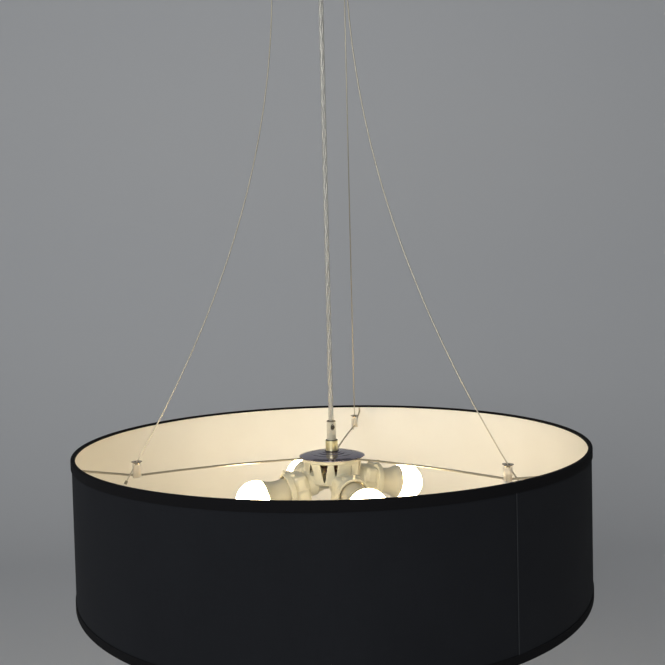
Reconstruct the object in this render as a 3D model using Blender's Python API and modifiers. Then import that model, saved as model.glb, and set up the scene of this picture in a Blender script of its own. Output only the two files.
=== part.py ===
"""Drum shade chandelier on three steel cables, with a lampholder for four bulbs.

Metres, +Z up. The origin is the middle of the ceiling strap's top face, which lies
against the ceiling, so the whole light hangs below it. The heights of the shade's
fittings are worked out from the shade's top edge, the rim.
"""

import math

import bmesh
import bpy
from mathutils import Matrix, Vector

# Fits that all pieces share
GAP = 0.0003  # between pieces that touch, or fit in each other
OVERRUN = 0.002  # how far a cutter runs past what it cuts
MERGE = 0.00001
TURN = 2 * math.pi

# Shade: black fabric glued to a pale lining, on two wire rings, with tape over its edges
RIM_DROP = 0.605  # from the ceiling down to the shade's top edge
SHADE_R = 0.300
SHADE_H = 0.165
FABRIC_T = 0.0006
LINING_T = 0.0008
WIRE_R = 0.0012  # the wire of the rings and of the spokes
TAPE_T = 0.0005
TAPE_H = 0.0095  # the tape's outer leg, which shows as a band
SHADE_STEPS = 48

# Spider: a flat hub and three wire spokes that carry the shade
SPOKES = 3
SPOKE_TURN = math.radians(81)  # the first spoke's direction, from +X towards +Y
SPIDER_DROP = 0.0218  # from the rim down to the wire's middle at the hub and at the bend
SPIDER_HUB_R = 0.020
SPOKE_ARCH = 0.0015  # rise of a spoke between the hub and its bend
SPOKE_ARCH_STEPS = 4
BEND_R = 0.232  # where a spoke bends up, and where its cable grip stands
KNEE_IN = 0.0045  # from the upright end of a spoke in to its knee
KNEE_DROP = 0.0105  # from the rim down to the knee
BEND_REACH = 0.0025
BEND_STEPS = 2

# Ceiling strap, canopy and what they hold
CANOPY_R = 0.068
CANOPY_H = 0.030
CANOPY_T = 0.001
CANOPY_FILLET = 0.005
CANOPY_STEPS = 28
FILLET_STEPS = 3
STRAP_W = 0.020
STRAP_T = 0.0016
STRAP_LEG = 0.018
STRAP_BEND = 0.003
SLOT_L = 0.014
SLOT_W = 0.0045
SLOT_AT = 0.034  # from the middle of the strap to the middle of a slot
SIDE_SCREW_DROP = 0.011
SIDE_SCREW_R = 0.0018
SIDE_SCREW_L = 0.010
SIDE_HEAD_R = 0.0042
SIDE_HEAD_L = 0.0040
SIDE_HEAD_CHAMFER = 0.0007
SIDE_SLOT_W = 0.0010
SIDE_SLOT_DEEP = 0.0014
BLOCK_L = 0.024
BLOCK_W = 0.013
BLOCK_H = 0.0085
BLOCK_EDGE = 0.0008
BLOCK_HOLE_R = 0.0016
BLOCK_HOLE_DEEP = 0.005
BLOCK_POLES = 3
BLOCK_PITCH = 0.0075

# Power cord and the two grips that hold it
CORD_R = 0.0030
CORD_POINTS = 6
ENTRY_R = 0.0055  # the canopy's cord entry, where it passes through the canopy
ENTRY_FLANGE_R = 0.0090
ENTRY_FLANGE_T = 0.0025
ENTRY_NOSE_L = 0.0080
ENTRY_NOSE_R = 0.0060
ENTRY_STEM_L = 0.0060
ENTRY_CHAMFER = 0.0008

# Suspension cables and their anchors in the canopy
CABLE_R = 0.00075
CABLE_POINTS = 14
CABLE_TWIST = math.radians(22)  # the anchors are turned this far back from the spokes
ANCHOR_R = 0.058  # how far out the anchors stand
ANCHOR_STEM_R = 0.0025
ANCHOR_STEM_L = 0.0060
ANCHOR_FLANGE_R = 0.0050
ANCHOR_FLANGE_T = 0.0020
ANCHOR_NOSE_R = 0.0030
ANCHOR_NOSE_L = 0.0080
ANCHOR_CHAMFER = 0.0006
ANCHOR_ROOF = 0.0015  # left above the blind hole that the cable ends in

# Cable grips: a clear barrel on each spoke, with a metal collar that is pushed to let go
BARREL_R = 0.0049
BARREL_H = 0.0148
BARREL_EDGE = 0.0006
BARREL_FOOT = 0.0012  # left below the spoke that passes through the foot
COLLAR_R = 0.0060
COLLAR_T = 0.0018
COLLAR_EDGE = 0.0004
COLLAR_STEM_R = 0.0028
COLLAR_STEM_L = 0.0020
COLLAR_TRAVEL = 0.0012
COLLAR_MOUTH_R = 0.0024  # the cone that the slanting cable enters by
COLLAR_MOUTH_DEEP = 0.0012
TAIL_TURN = math.radians(20)  # the tail leaves beside the spoke
TAIL_SLANT = math.radians(39)  # from straight down
TAIL_L = 0.0230
FERRULE_R = 0.0014
FERRULE_L = 0.0042

# Middle stack on the threaded tube, from the cord grip down to the nut
SLEEVE_R = 0.0075
SLEEVE_H = 0.0126
SLEEVE_BORE_R = 0.0053
SLEEVE_CHAMFER = 0.0006
TUBE_R = 0.0050
TUBE_BORE_R = 0.0036
TUBE_IN_SLEEVE = 0.0055
TUBE_BELOW_NUT = 0.0015
CORD_GRIP_R = 0.0055
CORD_GRIP_H = 0.0220
CORD_GRIP_STEM_R = 0.0048
CORD_GRIP_STEM_L = 0.0050
CORD_GRIP_BAND_H = 0.0022
CORD_GRIP_BAND_IN = 0.0004
CLAMP_TURN = math.radians(-75)  # the clamp screw faces the front
CLAMP_DROP = 0.0060  # from the top of the cord grip
CLAMP_R = 0.0015
CLAMP_HEAD_R = 0.0024
CLAMP_HEAD_L = 0.0018
CLAMP_SLOT_W = 0.0007
CLAMP_SLOT_DEEP = 0.0008
DISC_R = 0.040
DISC_T = 0.0009
DISC_RISE = 0.0050  # from the disc's lip up to its boss
DISC_BOSS_R = 0.0085
DISC_SEAT_R = 0.0140
NUT_AF = 0.014  # across the nut's flats
NUT_H = 0.0050
SMALL_STEPS = 12
TINY_STEPS = 8

# Lampholder: a hub with four tilted cups
LAMPS = 4
LAMP_TURN = math.radians(23)  # the first lamp's direction, from +X towards +Y
LAMP_TILT = math.radians(10.5)  # below the horizontal
AXES_DROP = 0.0235  # from the hub plate's top down to where the lamp axes cross
MOUTH_S = 0.0615  # along a lamp's axis, from the crossing to the cup's mouth
HUB_R = 0.0365
HUB_RING_T = 0.0024
HUB_RING_H = 0.0050
HUB_PLATE_T = 0.0026
HUB_WALL_T = 0.0022
HUB_FOOT_R = 0.0330
HUB_H = 0.0283  # from the plate's top down to the hub's foot
HUB_DOME = 0.0025
HUB_STEPS = 24
NOTCH_W = 0.0036  # the ring's notches that the spokes pass through
GAP_TURN = math.radians(5)  # the V-shaped gaps between the cups, off the middle
GAP_TOP_W = 0.0085
GAP_FOOT_W = 0.0012
WINDOW_TURN = math.radians(17)  # small windows on both sides of each cup
WINDOW_TOP_W = 0.0012
WINDOW_FOOT_W = 0.0055
WINDOW_H = 0.0130
CUP_R = 0.0195
CUP_BACK_R = 0.0150
CUP_BACK = 0.0370  # how far behind its mouth a cup begins
CUP_LIP_R = 0.0208
CUP_LIP_L = 0.0048
CUP_MOUTH_R = 0.0176
CUP_MOUTH_DEEP = 0.0062
CUP_DEEP = 0.0305
CUP_STEPS = 16
TAB_W = 0.0030  # the latch on top of each cup's lip
TAB_H = 0.0034
TAB_L = 0.0022

# Screw shell in each cup, and the bulb that turns in it
CAP_R = 0.0130
SHELL_T = 0.0006
SHELL_FIT = 0.0006  # between the bulb's cap and the shell
SHELL_TOP = 0.0065  # from the mouth down to the shell
SHELL_L = 0.0160
CAP_L = 0.0210
CAP_TOP = 0.0032  # from the mouth down to the cap
CAP_T = 0.0008
CAP_FLOOR_R = 0.0072
CONTACT_L = 0.0046
CONTACT_TIP_R = 0.0045
CONTACT_TIP_L = 0.0010
CONTACT_SHOULDER_R = 0.0115
BULB_SKIRT_R = 0.0155  # at the cup's mouth
BULB_JOIN_R = 0.0203  # where the globe leaves the skirt
BULB_JOIN_S = 0.0270  # from the mouth out to that edge
BULB_SKIRT_T = 0.0012
GLOBE_R = 0.0232
GLOBE_T = 0.0010
BULB_STEPS = 16
GLOBE_ARC_STEPS = 6
WIRING_H = 0.0080
WIRING_W = 0.0130
WIRING_EDGE = 0.0010
LEAD_R = 0.0010
LEAD_OUT = 0.0040  # how far a lead runs level before it turns to its cup
LEAD_UP = 0.0065  # above the lamp axis, where a lead goes into its cup

# Heights worked out from the sizes above
RIM_Z = -RIM_DROP
FOOT_Z = RIM_Z - SHADE_H
LINING_R = SHADE_R - FABRIC_T - GAP
LINING_IN_R = LINING_R - LINING_T
LINING_FLAT_R = LINING_IN_R * math.cos(TURN / 2 / SHADE_STEPS)  # at the middle of a facet
RING_AT_R = LINING_IN_R - GAP - WIRE_R
RING_IN_Z = TAPE_T + GAP + WIRE_R  # from an edge of the shade in to its ring's middle
SPIDER_Z = RIM_Z - SPIDER_DROP
SEAT_Z = SPIDER_Z + WIRE_R + GAP  # the underside of the disc
PLATE_Z = SPIDER_Z - WIRE_R - GAP  # the top of the lampholder's plate
SLEEVE_Z = SEAT_Z + DISC_RISE + GAP
CORD_GRIP_Z = SLEEVE_Z + SLEEVE_H + GAP
NUT_Z = PLATE_Z - HUB_PLATE_T - GAP
TUBE_Z = NUT_Z - NUT_H - TUBE_BELOW_NUT
CROSS_Z = PLATE_Z - AXES_DROP
BARREL_Z = SPIDER_Z - WIRE_R - BARREL_FOOT
BARREL_TOP_Z = BARREL_Z + BARREL_H
COLLAR_Z = BARREL_TOP_Z + COLLAR_TRAVEL + GAP
COLLAR_TOP_Z = COLLAR_Z + COLLAR_T
CANOPY_FLOOR_Z = -CANOPY_H
STRAP_HALF = math.sqrt((CANOPY_R - CANOPY_T - 2 * GAP) ** 2 - (STRAP_W / 2) ** 2)


# Scene, collections and materials
for old in list(bpy.data.objects):
    bpy.data.objects.remove(old, do_unlink=True)

PARTS = bpy.data.collections.new("drum_chandelier")
CUTTERS = bpy.data.collections.new("cutters")
bpy.context.scene.collection.children.link(PARTS)
bpy.context.scene.collection.children.link(CUTTERS)


def finish(name, colour, rough, metal=0.0, clear=0.0, glow=0.0):
    """A plain Principled material."""
    mat = bpy.data.materials.new(name)
    mat.use_nodes = True
    shader = mat.node_tree.nodes["Principled BSDF"]
    shader.inputs["Base Color"].default_value = (*colour, 1.0)
    shader.inputs["Roughness"].default_value = rough
    shader.inputs["Metallic"].default_value = metal
    shader.inputs["Transmission Weight"].default_value = clear
    shader.inputs["Emission Color"].default_value = (1.0, 0.90, 0.74, 1.0)
    shader.inputs["Emission Strength"].default_value = glow
    return mat


BLACK_FABRIC = finish("black_fabric", (0.018, 0.018, 0.020), 0.9)
BLACK_TAPE = finish("black_tape", (0.012, 0.012, 0.013), 0.85)
LINING = finish("pale_lining", (0.83, 0.76, 0.62), 0.7)
WIRE = finish("steel_wire", (0.42, 0.40, 0.37), 0.35, metal=1.0)
CHROME = finish("chrome", (0.62, 0.62, 0.66), 0.08, metal=1.0)
NICKEL = finish("nickel", (0.66, 0.63, 0.52), 0.28, metal=1.0)
DARK_METAL = finish("dark_metal", (0.10, 0.10, 0.11), 0.4, metal=1.0)
CABLE = finish("steel_cable", (0.30, 0.29, 0.28), 0.4, metal=1.0)
CLEAR = finish("clear_plastic", (0.85, 0.86, 0.84), 0.12, clear=0.9)
CORD = finish("clear_cord", (0.72, 0.70, 0.64), 0.3, clear=0.4)
WHITE = finish("white_plastic", (0.80, 0.77, 0.68), 0.4)
BRASS = finish("brass", (0.70, 0.55, 0.30), 0.3, metal=1.0)
OPAL = finish("opal", (0.95, 0.93, 0.88), 0.4, glow=1.5)
ZINC = finish("zinc", (0.55, 0.55, 0.56), 0.4, metal=1.0)
BROWN_WIRE = finish("brown_wire", (0.16, 0.07, 0.03), 0.5)


# Ways of making pieces
def add(name, data, mat, parent=None, at=(0, 0, 0), turn=0.0):
    """A named piece, placed by its location, its turn about Z and its parent."""
    obj = bpy.data.objects.new(name, data)
    PARTS.objects.link(obj)
    obj.location = at
    obj.rotation_euler = (0, 0, turn)
    obj.parent = parent
    if data is not None:
        data.materials.append(mat)
    return obj


def empty(name, matrix):
    """A guide that pieces are parented to."""
    obj = bpy.data.objects.new(name, None)
    PARTS.objects.link(obj)
    obj.matrix_world = matrix
    return obj


def screw(obj, steps):
    """Turns the object's profile into a solid round its own Z."""
    mod = obj.modifiers.new("turned", "SCREW")
    mod.angle = TURN
    mod.steps = steps
    mod.render_steps = steps
    mod.use_merge_vertices = True
    mod.merge_threshold = MERGE
    mod.use_smooth_shade = True


def turned(name, points, steps, mat, closed=True, **place):
    """A turned piece. Its (radius, height) points run down the outer side."""
    mesh = bpy.data.meshes.new(name)
    edges = [(i, i + 1) for i in range(len(points) - 1)]
    if closed:
        edges.append((len(points) - 1, 0))
    mesh.from_pydata([(r, 0, z) for r, z in points], edges, [])
    obj = add(name, mesh, mat, **place)
    screw(obj, steps)
    return obj


def arc(middle, radius, start, end, steps):
    """Points of an arc in a profile, from one angle to another, both in radians."""
    angles = [start + (end - start) * i / steps for i in range(steps + 1)]
    return [(middle[0] + radius * math.cos(a), middle[1] + radius * math.sin(a)) for a in angles]


def box_mesh(name, size, edge=0.0, upright_only=False):
    """A box with its edges bevelled, all of them or only those along Z."""
    bm = bmesh.new()
    bmesh.ops.create_cube(bm, size=1.0)
    bmesh.ops.scale(bm, vec=size, verts=bm.verts)
    edges = [e for e in bm.edges if not upright_only or is_upright(e)]
    if edge:
        bmesh.ops.bevel(
            bm, geom=edges, offset=edge, segments=FILLET_STEPS if upright_only else 2,
            profile=0.5, affect="EDGES", material=-1,
        )
    mesh = bpy.data.meshes.new(name)
    bm.to_mesh(mesh)
    bm.free()
    return mesh


def is_upright(edge):
    """Whether an edge runs along Z."""
    a, b = (v.co for v in edge.verts)
    return abs(a.x - b.x) < MERGE and abs(a.y - b.y) < MERGE


def rod_mesh(name, radius, length, steps):
    """A plain cylinder along Z, round the origin."""
    bm = bmesh.new()
    bmesh.ops.create_cone(
        bm, cap_ends=True, segments=steps, radius1=radius, radius2=radius, depth=length
    )
    mesh = bpy.data.meshes.new(name)
    bm.to_mesh(mesh)
    bm.free()
    return mesh


def wedge_mesh(name, top_w, foot_w, height, length):
    """A block along X whose width in Y changes from its top to its foot."""
    bm = bmesh.new()
    bmesh.ops.create_cube(bm, size=1.0)
    for vert in bm.verts:
        vert.co.y *= top_w if vert.co.z > 0 else foot_w
    bmesh.ops.scale(bm, vec=(length, 1.0, height), verts=bm.verts)
    mesh = bpy.data.meshes.new(name)
    bm.to_mesh(mesh)
    bm.free()
    return mesh


def guide(obj):
    """Keeps a cutter out of the model."""
    for home in list(obj.users_collection):
        home.objects.unlink(obj)
    CUTTERS.objects.link(obj)
    obj.hide_render = True
    obj.display_type = "WIRE"
    return obj


def cutter(name, mesh, matrix, parent=None):
    """A cutter from a mesh, placed by a matrix in its parent's frame."""
    obj = bpy.data.objects.new(name, mesh)
    CUTTERS.objects.link(obj)
    obj.parent = parent
    obj.matrix_local = matrix
    return guide(obj)


def boolean(obj, tool, how="DIFFERENCE"):
    """A live Boolean on a piece."""
    mod = obj.modifiers.new(tool.name, "BOOLEAN")
    mod.operation = how
    mod.object = tool
    mod.solver = "EXACT"


def tube(name, points, radius, mat, radii=None, **place):
    """A wire or cable: a POLY curve with filled caps."""
    curve = bpy.data.curves.new(name, "CURVE")
    curve.dimensions = "3D"
    curve.bevel_depth = radius
    curve.bevel_resolution = 2
    curve.use_fill_caps = True
    spline = curve.splines.new("POLY")
    spline.points.add(len(points) - 1)
    for i, (point, co) in enumerate(zip(spline.points, points)):
        point.co = (*co, 1.0)
        point.radius = radii[i] / radius if radii else 1.0
    return add(name, curve, mat, **place)


def as_mesh(obj):
    """The same tube as a welded mesh, which can be cut, be joined or cut others."""
    bpy.context.view_layer.update()
    seen = obj.evaluated_get(bpy.context.evaluated_depsgraph_get())
    mesh = bpy.data.meshes.new_from_object(seen)
    bm = bmesh.new()
    bm.from_mesh(mesh)
    bmesh.ops.remove_doubles(bm, verts=bm.verts, dist=MERGE)
    bm.to_mesh(mesh)
    bm.free()
    made = bpy.data.objects.new(obj.name, mesh)
    PARTS.objects.link(made)
    made.parent = obj.parent
    made.matrix_world = obj.matrix_world
    name, curve = obj.name, obj.data
    bpy.data.objects.remove(obj)
    bpy.data.curves.remove(curve)
    made.name = name
    return made


def softened(points, reach, steps):
    """The same route with each inner corner rounded over a short reach."""
    route = [Vector(points[0])]
    for before, corner, after in zip(points, points[1:], points[2:]):
        corner = Vector(corner)
        start = corner + (Vector(before) - corner).normalized() * reach
        end = corner + (Vector(after) - corner).normalized() * reach
        for i in range(steps + 1):
            t = i / steps
            route.append(start * (1 - t) ** 2 + corner * 2 * t * (1 - t) + end * t**2)
    return route + [Vector(points[-1])]


# Ceiling strap: a steel strip with its ends bent down, slotted for two ceiling screws
def build_strap():
    outline = softened(
        [
            (-STRAP_HALF, 0, -STRAP_LEG),
            (-STRAP_HALF, 0, 0),
            (STRAP_HALF, 0, 0),
            (STRAP_HALF, 0, -STRAP_LEG),
        ],
        STRAP_BEND,
        FILLET_STEPS,
    )
    bm = bmesh.new()
    verts = [bm.verts.new((p.x, -STRAP_W / 2, p.z)) for p in outline]
    edges = [bm.edges.new(pair) for pair in zip(verts, verts[1:])]
    made = bmesh.ops.extrude_edge_only(bm, edges=edges)["geom"]
    moved = [v for v in made if isinstance(v, bmesh.types.BMVert)]
    bmesh.ops.translate(bm, vec=(0, STRAP_W, 0), verts=moved)
    mesh = bpy.data.meshes.new("ceiling_strap")
    bm.to_mesh(mesh)
    bm.free()
    strap = add("ceiling_strap", mesh, ZINC)
    wall = strap.modifiers.new("wall", "SOLIDIFY")
    wall.thickness = STRAP_T
    wall.offset = 1.0
    wall.use_even_offset = True
    for side, sign in (("left", -1), ("right", 1)):
        slot = cutter(
            f"strap_slot_{side}",
            box_mesh("slot", (SLOT_L, SLOT_W, 2 * (STRAP_T + OVERRUN)), SLOT_W / 2 - GAP, True),
            Matrix.Translation((sign * SLOT_AT, 0, 0)),
        )
        boolean(strap, slot)
        hole = cutter(
            f"strap_hole_{side}",
            rod_mesh("hole", SIDE_SCREW_R + GAP, 2 * (STRAP_T + OVERRUN), TINY_STEPS),
            Matrix.Translation((sign * STRAP_HALF, 0, -SIDE_SCREW_DROP)) @ Matrix.Rotation(TURN / 4, 4, "Y"),
        )
        boolean(strap, hole)
    return strap


# Canopy: a spun steel cup over the strap, held by a screw on each side
def build_canopy():
    inner = CANOPY_R - CANOPY_T
    floor = CANOPY_FLOOR_Z + CANOPY_T
    middle = (CANOPY_R - CANOPY_FILLET, CANOPY_FLOOR_Z + CANOPY_FILLET)
    inner_fillet = CANOPY_FILLET - CANOPY_T
    points = [(CANOPY_R, 0)]
    points += arc(middle, CANOPY_FILLET, 0, -TURN / 4, FILLET_STEPS)
    points += [(0, CANOPY_FLOOR_Z), (0, floor)]
    points += arc(middle, inner_fillet, -TURN / 4, 0, FILLET_STEPS)
    points += [(inner, 0)]
    cup = turned("canopy_cup", points, CANOPY_STEPS, CHROME)
    entry = cutter(
        "canopy_entry_hole",
        rod_mesh("hole", ENTRY_R + GAP, 2 * (CANOPY_T + OVERRUN), SMALL_STEPS),
        Matrix.Translation((0, 0, CANOPY_FLOOR_Z)),
    )
    boolean(cup, entry)
    for k in range(SPOKES):
        hole = cutter(
            f"canopy_anchor_hole_{k + 1}",
            rod_mesh("hole", ANCHOR_STEM_R + GAP, 2 * (CANOPY_T + OVERRUN), TINY_STEPS),
            Matrix.Translation((*anchor_xy(k), CANOPY_FLOOR_Z)),
        )
        boolean(cup, hole)
    for side, sign in (("left", -1), ("right", 1)):
        hole = cutter(
            f"canopy_side_hole_{side}",
            rod_mesh("hole", SIDE_SCREW_R + GAP, 2 * (CANOPY_T + OVERRUN), TINY_STEPS),
            Matrix.Translation((sign * CANOPY_R, 0, -SIDE_SCREW_DROP)) @ Matrix.Rotation(TURN / 4, 4, "Y"),
        )
        boolean(cup, hole)
        build_side_screw(side, sign)
    return cup


def build_side_screw(side, sign):
    """A slotted screw through the canopy's wall and the strap's leg."""
    head = SIDE_HEAD_L
    points = [
        (0, head),
        (SIDE_HEAD_R - SIDE_HEAD_CHAMFER, head),
        (SIDE_HEAD_R, head - SIDE_HEAD_CHAMFER),
        (SIDE_HEAD_R, 0),
        (SIDE_SCREW_R, 0),
        (SIDE_SCREW_R, -SIDE_SCREW_L),
        (0, -SIDE_SCREW_L),
    ]
    seat = empty(
        f"side_screw_seat_{side}",
        Matrix.Translation((sign * (CANOPY_R + GAP), 0, -SIDE_SCREW_DROP))
        @ Matrix.Rotation(sign * TURN / 4, 4, "Y"),
    )
    piece = turned(
        f"canopy_screw_{side}", points, TINY_STEPS, NICKEL, closed=False, parent=seat
    )
    slot = cutter(
        f"screw_slot_{side}",
        box_mesh("slot", (2 * SIDE_HEAD_R + OVERRUN, SIDE_SLOT_W, 2 * SIDE_SLOT_DEEP)),
        Matrix.Translation((0, 0, head)),
        seat,
    )
    boolean(piece, slot)
    return piece


def anchor_xy(k):
    """Where a suspension cable leaves the canopy."""
    turn = SPOKE_TURN + k * TURN / SPOKES - CABLE_TWIST
    return ANCHOR_R * math.cos(turn), ANCHOR_R * math.sin(turn)


def grip_xy(k):
    """Where a cable grip stands on its spoke."""
    turn = SPOKE_TURN + k * TURN / SPOKES
    return BEND_R * math.cos(turn), BEND_R * math.sin(turn)


# Terminal block under the strap, where the mains is joined to the cord
def build_terminal_block():
    middle = -STRAP_T - GAP - BLOCK_H / 2
    block = add(
        "terminal_block",
        box_mesh("terminal_block", (BLOCK_L, BLOCK_W, BLOCK_H), BLOCK_EDGE),
        WHITE,
        at=(0, 0, middle),
    )
    for k in range(BLOCK_POLES):
        x = (k - (BLOCK_POLES - 1) / 2) * BLOCK_PITCH
        hole = cutter(
            f"block_hole_{k + 1}",
            rod_mesh("hole", BLOCK_HOLE_R, 2 * BLOCK_HOLE_DEEP, TINY_STEPS),
            Matrix.Translation((x, -BLOCK_W / 2, middle)) @ Matrix.Rotation(TURN / 4, 4, "X"),
        )
        boolean(block, hole)
    return block


# Cord entry: a nylon bush in the canopy's floor that holds the power cord
def build_cord_entry():
    bore = CORD_R + GAP
    below = CANOPY_FLOOR_Z - GAP
    foot = below - ENTRY_FLANGE_T - ENTRY_NOSE_L
    top = CANOPY_FLOOR_Z + CANOPY_T + ENTRY_STEM_L
    points = [
        (ENTRY_R, top),
        (ENTRY_R, below),
        (ENTRY_FLANGE_R, below),
        (ENTRY_FLANGE_R, below - ENTRY_FLANGE_T + ENTRY_CHAMFER),
        (ENTRY_FLANGE_R - ENTRY_CHAMFER, below - ENTRY_FLANGE_T),
        (ENTRY_NOSE_R, below - ENTRY_FLANGE_T),
        (ENTRY_NOSE_R - ENTRY_CHAMFER, foot),
        (bore, foot),
        (bore, top),
    ]
    return turned("canopy_cord_entry", points, SMALL_STEPS, WHITE)


# Power cord: one straight run from the terminal block to the lampholder's tube
def build_power_cord():
    top = -STRAP_T - BLOCK_H - 2 * GAP
    foot = TUBE_Z
    points = [
        (0, 0, top + (foot - top) * i / (CORD_POINTS - 1)) for i in range(CORD_POINTS)
    ]
    return tube("power_cord", points, CORD_R, CORD)


# Cable anchors: turned studs in the canopy's floor that the cables are swaged into
def build_anchor(k):
    below = CANOPY_FLOOR_Z - GAP
    top = CANOPY_FLOOR_Z + CANOPY_T + ANCHOR_STEM_L
    foot = below - ANCHOR_FLANGE_T - ANCHOR_NOSE_L
    bore = CABLE_R + GAP
    roof = top - ANCHOR_ROOF
    points = [
        (0, top),
        (ANCHOR_STEM_R - ANCHOR_CHAMFER, top),
        (ANCHOR_STEM_R, top - ANCHOR_CHAMFER),
        (ANCHOR_STEM_R, below),
        (ANCHOR_FLANGE_R, below),
        (ANCHOR_FLANGE_R, below - ANCHOR_FLANGE_T),
        (ANCHOR_NOSE_R, below - ANCHOR_FLANGE_T),
        (ANCHOR_NOSE_R, foot + ANCHOR_CHAMFER),
        (ANCHOR_NOSE_R - ANCHOR_CHAMFER, foot),
        (bore, foot),
        (bore, roof),
        (0, roof),
    ]
    return turned(
        f"cable_anchor_{k + 1}", points, TINY_STEPS, NICKEL, closed=False,
        at=(*anchor_xy(k), 0),
    )


# Suspension cable: straight down out of its anchor, then bowing out to its grip
def build_cable(k):
    anchor, grip = Vector(anchor_xy(k)), Vector(grip_xy(k))
    top = CANOPY_FLOOR_Z + CANOPY_T + ANCHOR_STEM_L - ANCHOR_ROOF - GAP
    nose = CANOPY_FLOOR_Z - GAP - ANCHOR_FLANGE_T - ANCHOR_NOSE_L
    mouth = COLLAR_TOP_Z - COLLAR_MOUTH_DEEP
    points = [(*anchor, top)]
    for i in range(CABLE_POINTS):
        t = i / (CABLE_POINTS - 1)
        x, y = anchor + (grip - anchor) * t**2
        points.append((x, y, nose + (mouth - nose) * t))
    points.append((*grip, COLLAR_Z - COLLAR_STEM_L + GAP))
    return tube(f"suspension_cable_{k + 1}", points, CABLE_R, CABLE)


# Cable grip: clear barrel, sprung metal collar and the cable's tail with its ferrule
def build_grip(k):
    turn = SPOKE_TURN + k * TURN / SPOKES
    seat = empty(
        f"grip_seat_{k + 1}", Matrix.Translation((*grip_xy(k), 0)) @ Matrix.Rotation(turn, 4, "Z")
    )
    socket_r = COLLAR_STEM_R + GAP
    socket_z = COLLAR_Z - COLLAR_STEM_L - COLLAR_TRAVEL - GAP
    barrel = turned(
        f"cable_grip_{k + 1}",
        [
            (socket_r, BARREL_TOP_Z),
            (BARREL_R - BARREL_EDGE, BARREL_TOP_Z),
            (BARREL_R, BARREL_TOP_Z - BARREL_EDGE),
            (BARREL_R, BARREL_Z + BARREL_EDGE),
            (BARREL_R - BARREL_EDGE, BARREL_Z),
            (0, BARREL_Z),
            (0, socket_z),
            (socket_r, socket_z),
        ],
        SMALL_STEPS,
        CLEAR,
        parent=seat,
    )
    wire = as_mesh(tube(f"spoke_way_{k + 1}", spoke_route(), WIRE_R + GAP, CLEAR, turn=turn))
    boolean(barrel, guide(wire))
    start, way = tail_start(), tail_way()
    lean = way.to_track_quat("Z", "Y").to_matrix().to_4x4()
    tail_hole = cutter(
        f"tail_hole_{k + 1}",
        rod_mesh("hole", CABLE_R + GAP, 2 * BARREL_R + OVERRUN, TINY_STEPS),
        Matrix.Translation(start + way * (BARREL_R + OVERRUN / 2)) @ lean,
        seat,
    )
    boolean(barrel, tail_hole)
    turned(
        f"grip_collar_{k + 1}",
        [
            (COLLAR_MOUTH_R, COLLAR_TOP_Z),
            (COLLAR_R - COLLAR_EDGE, COLLAR_TOP_Z),
            (COLLAR_R, COLLAR_TOP_Z - COLLAR_EDGE),
            (COLLAR_R, COLLAR_Z + COLLAR_EDGE),
            (COLLAR_R - COLLAR_EDGE, COLLAR_Z),
            (COLLAR_STEM_R, COLLAR_Z),
            (COLLAR_STEM_R, COLLAR_Z - COLLAR_STEM_L),
            (CABLE_R + GAP, COLLAR_Z - COLLAR_STEM_L),
            (CABLE_R + GAP, COLLAR_TOP_Z - COLLAR_MOUTH_DEEP),
        ],
        SMALL_STEPS,
        DARK_METAL,
        parent=seat,
    )
    end = start + way * TAIL_L
    shoulder = way * (FERRULE_R - CABLE_R)
    neck = end - way * FERRULE_L
    tube(
        f"cable_tail_{k + 1}",
        [start, neck - shoulder, neck, end - shoulder, end],
        FERRULE_R,
        CABLE,
        radii=[CABLE_R, CABLE_R, FERRULE_R, FERRULE_R, CABLE_R],
        parent=seat,
    )


def tail_start():
    """Where the cable turns aside in its grip, in the grip's own frame."""
    return Vector((0, 0, COLLAR_Z - COLLAR_STEM_L - COLLAR_TRAVEL))


def tail_way():
    """The direction in which the tail leaves, in the grip's own frame."""
    out = math.sin(TAIL_SLANT)
    return Vector((out * math.cos(TAIL_TURN), out * math.sin(TAIL_TURN), -math.cos(TAIL_SLANT)))


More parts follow.
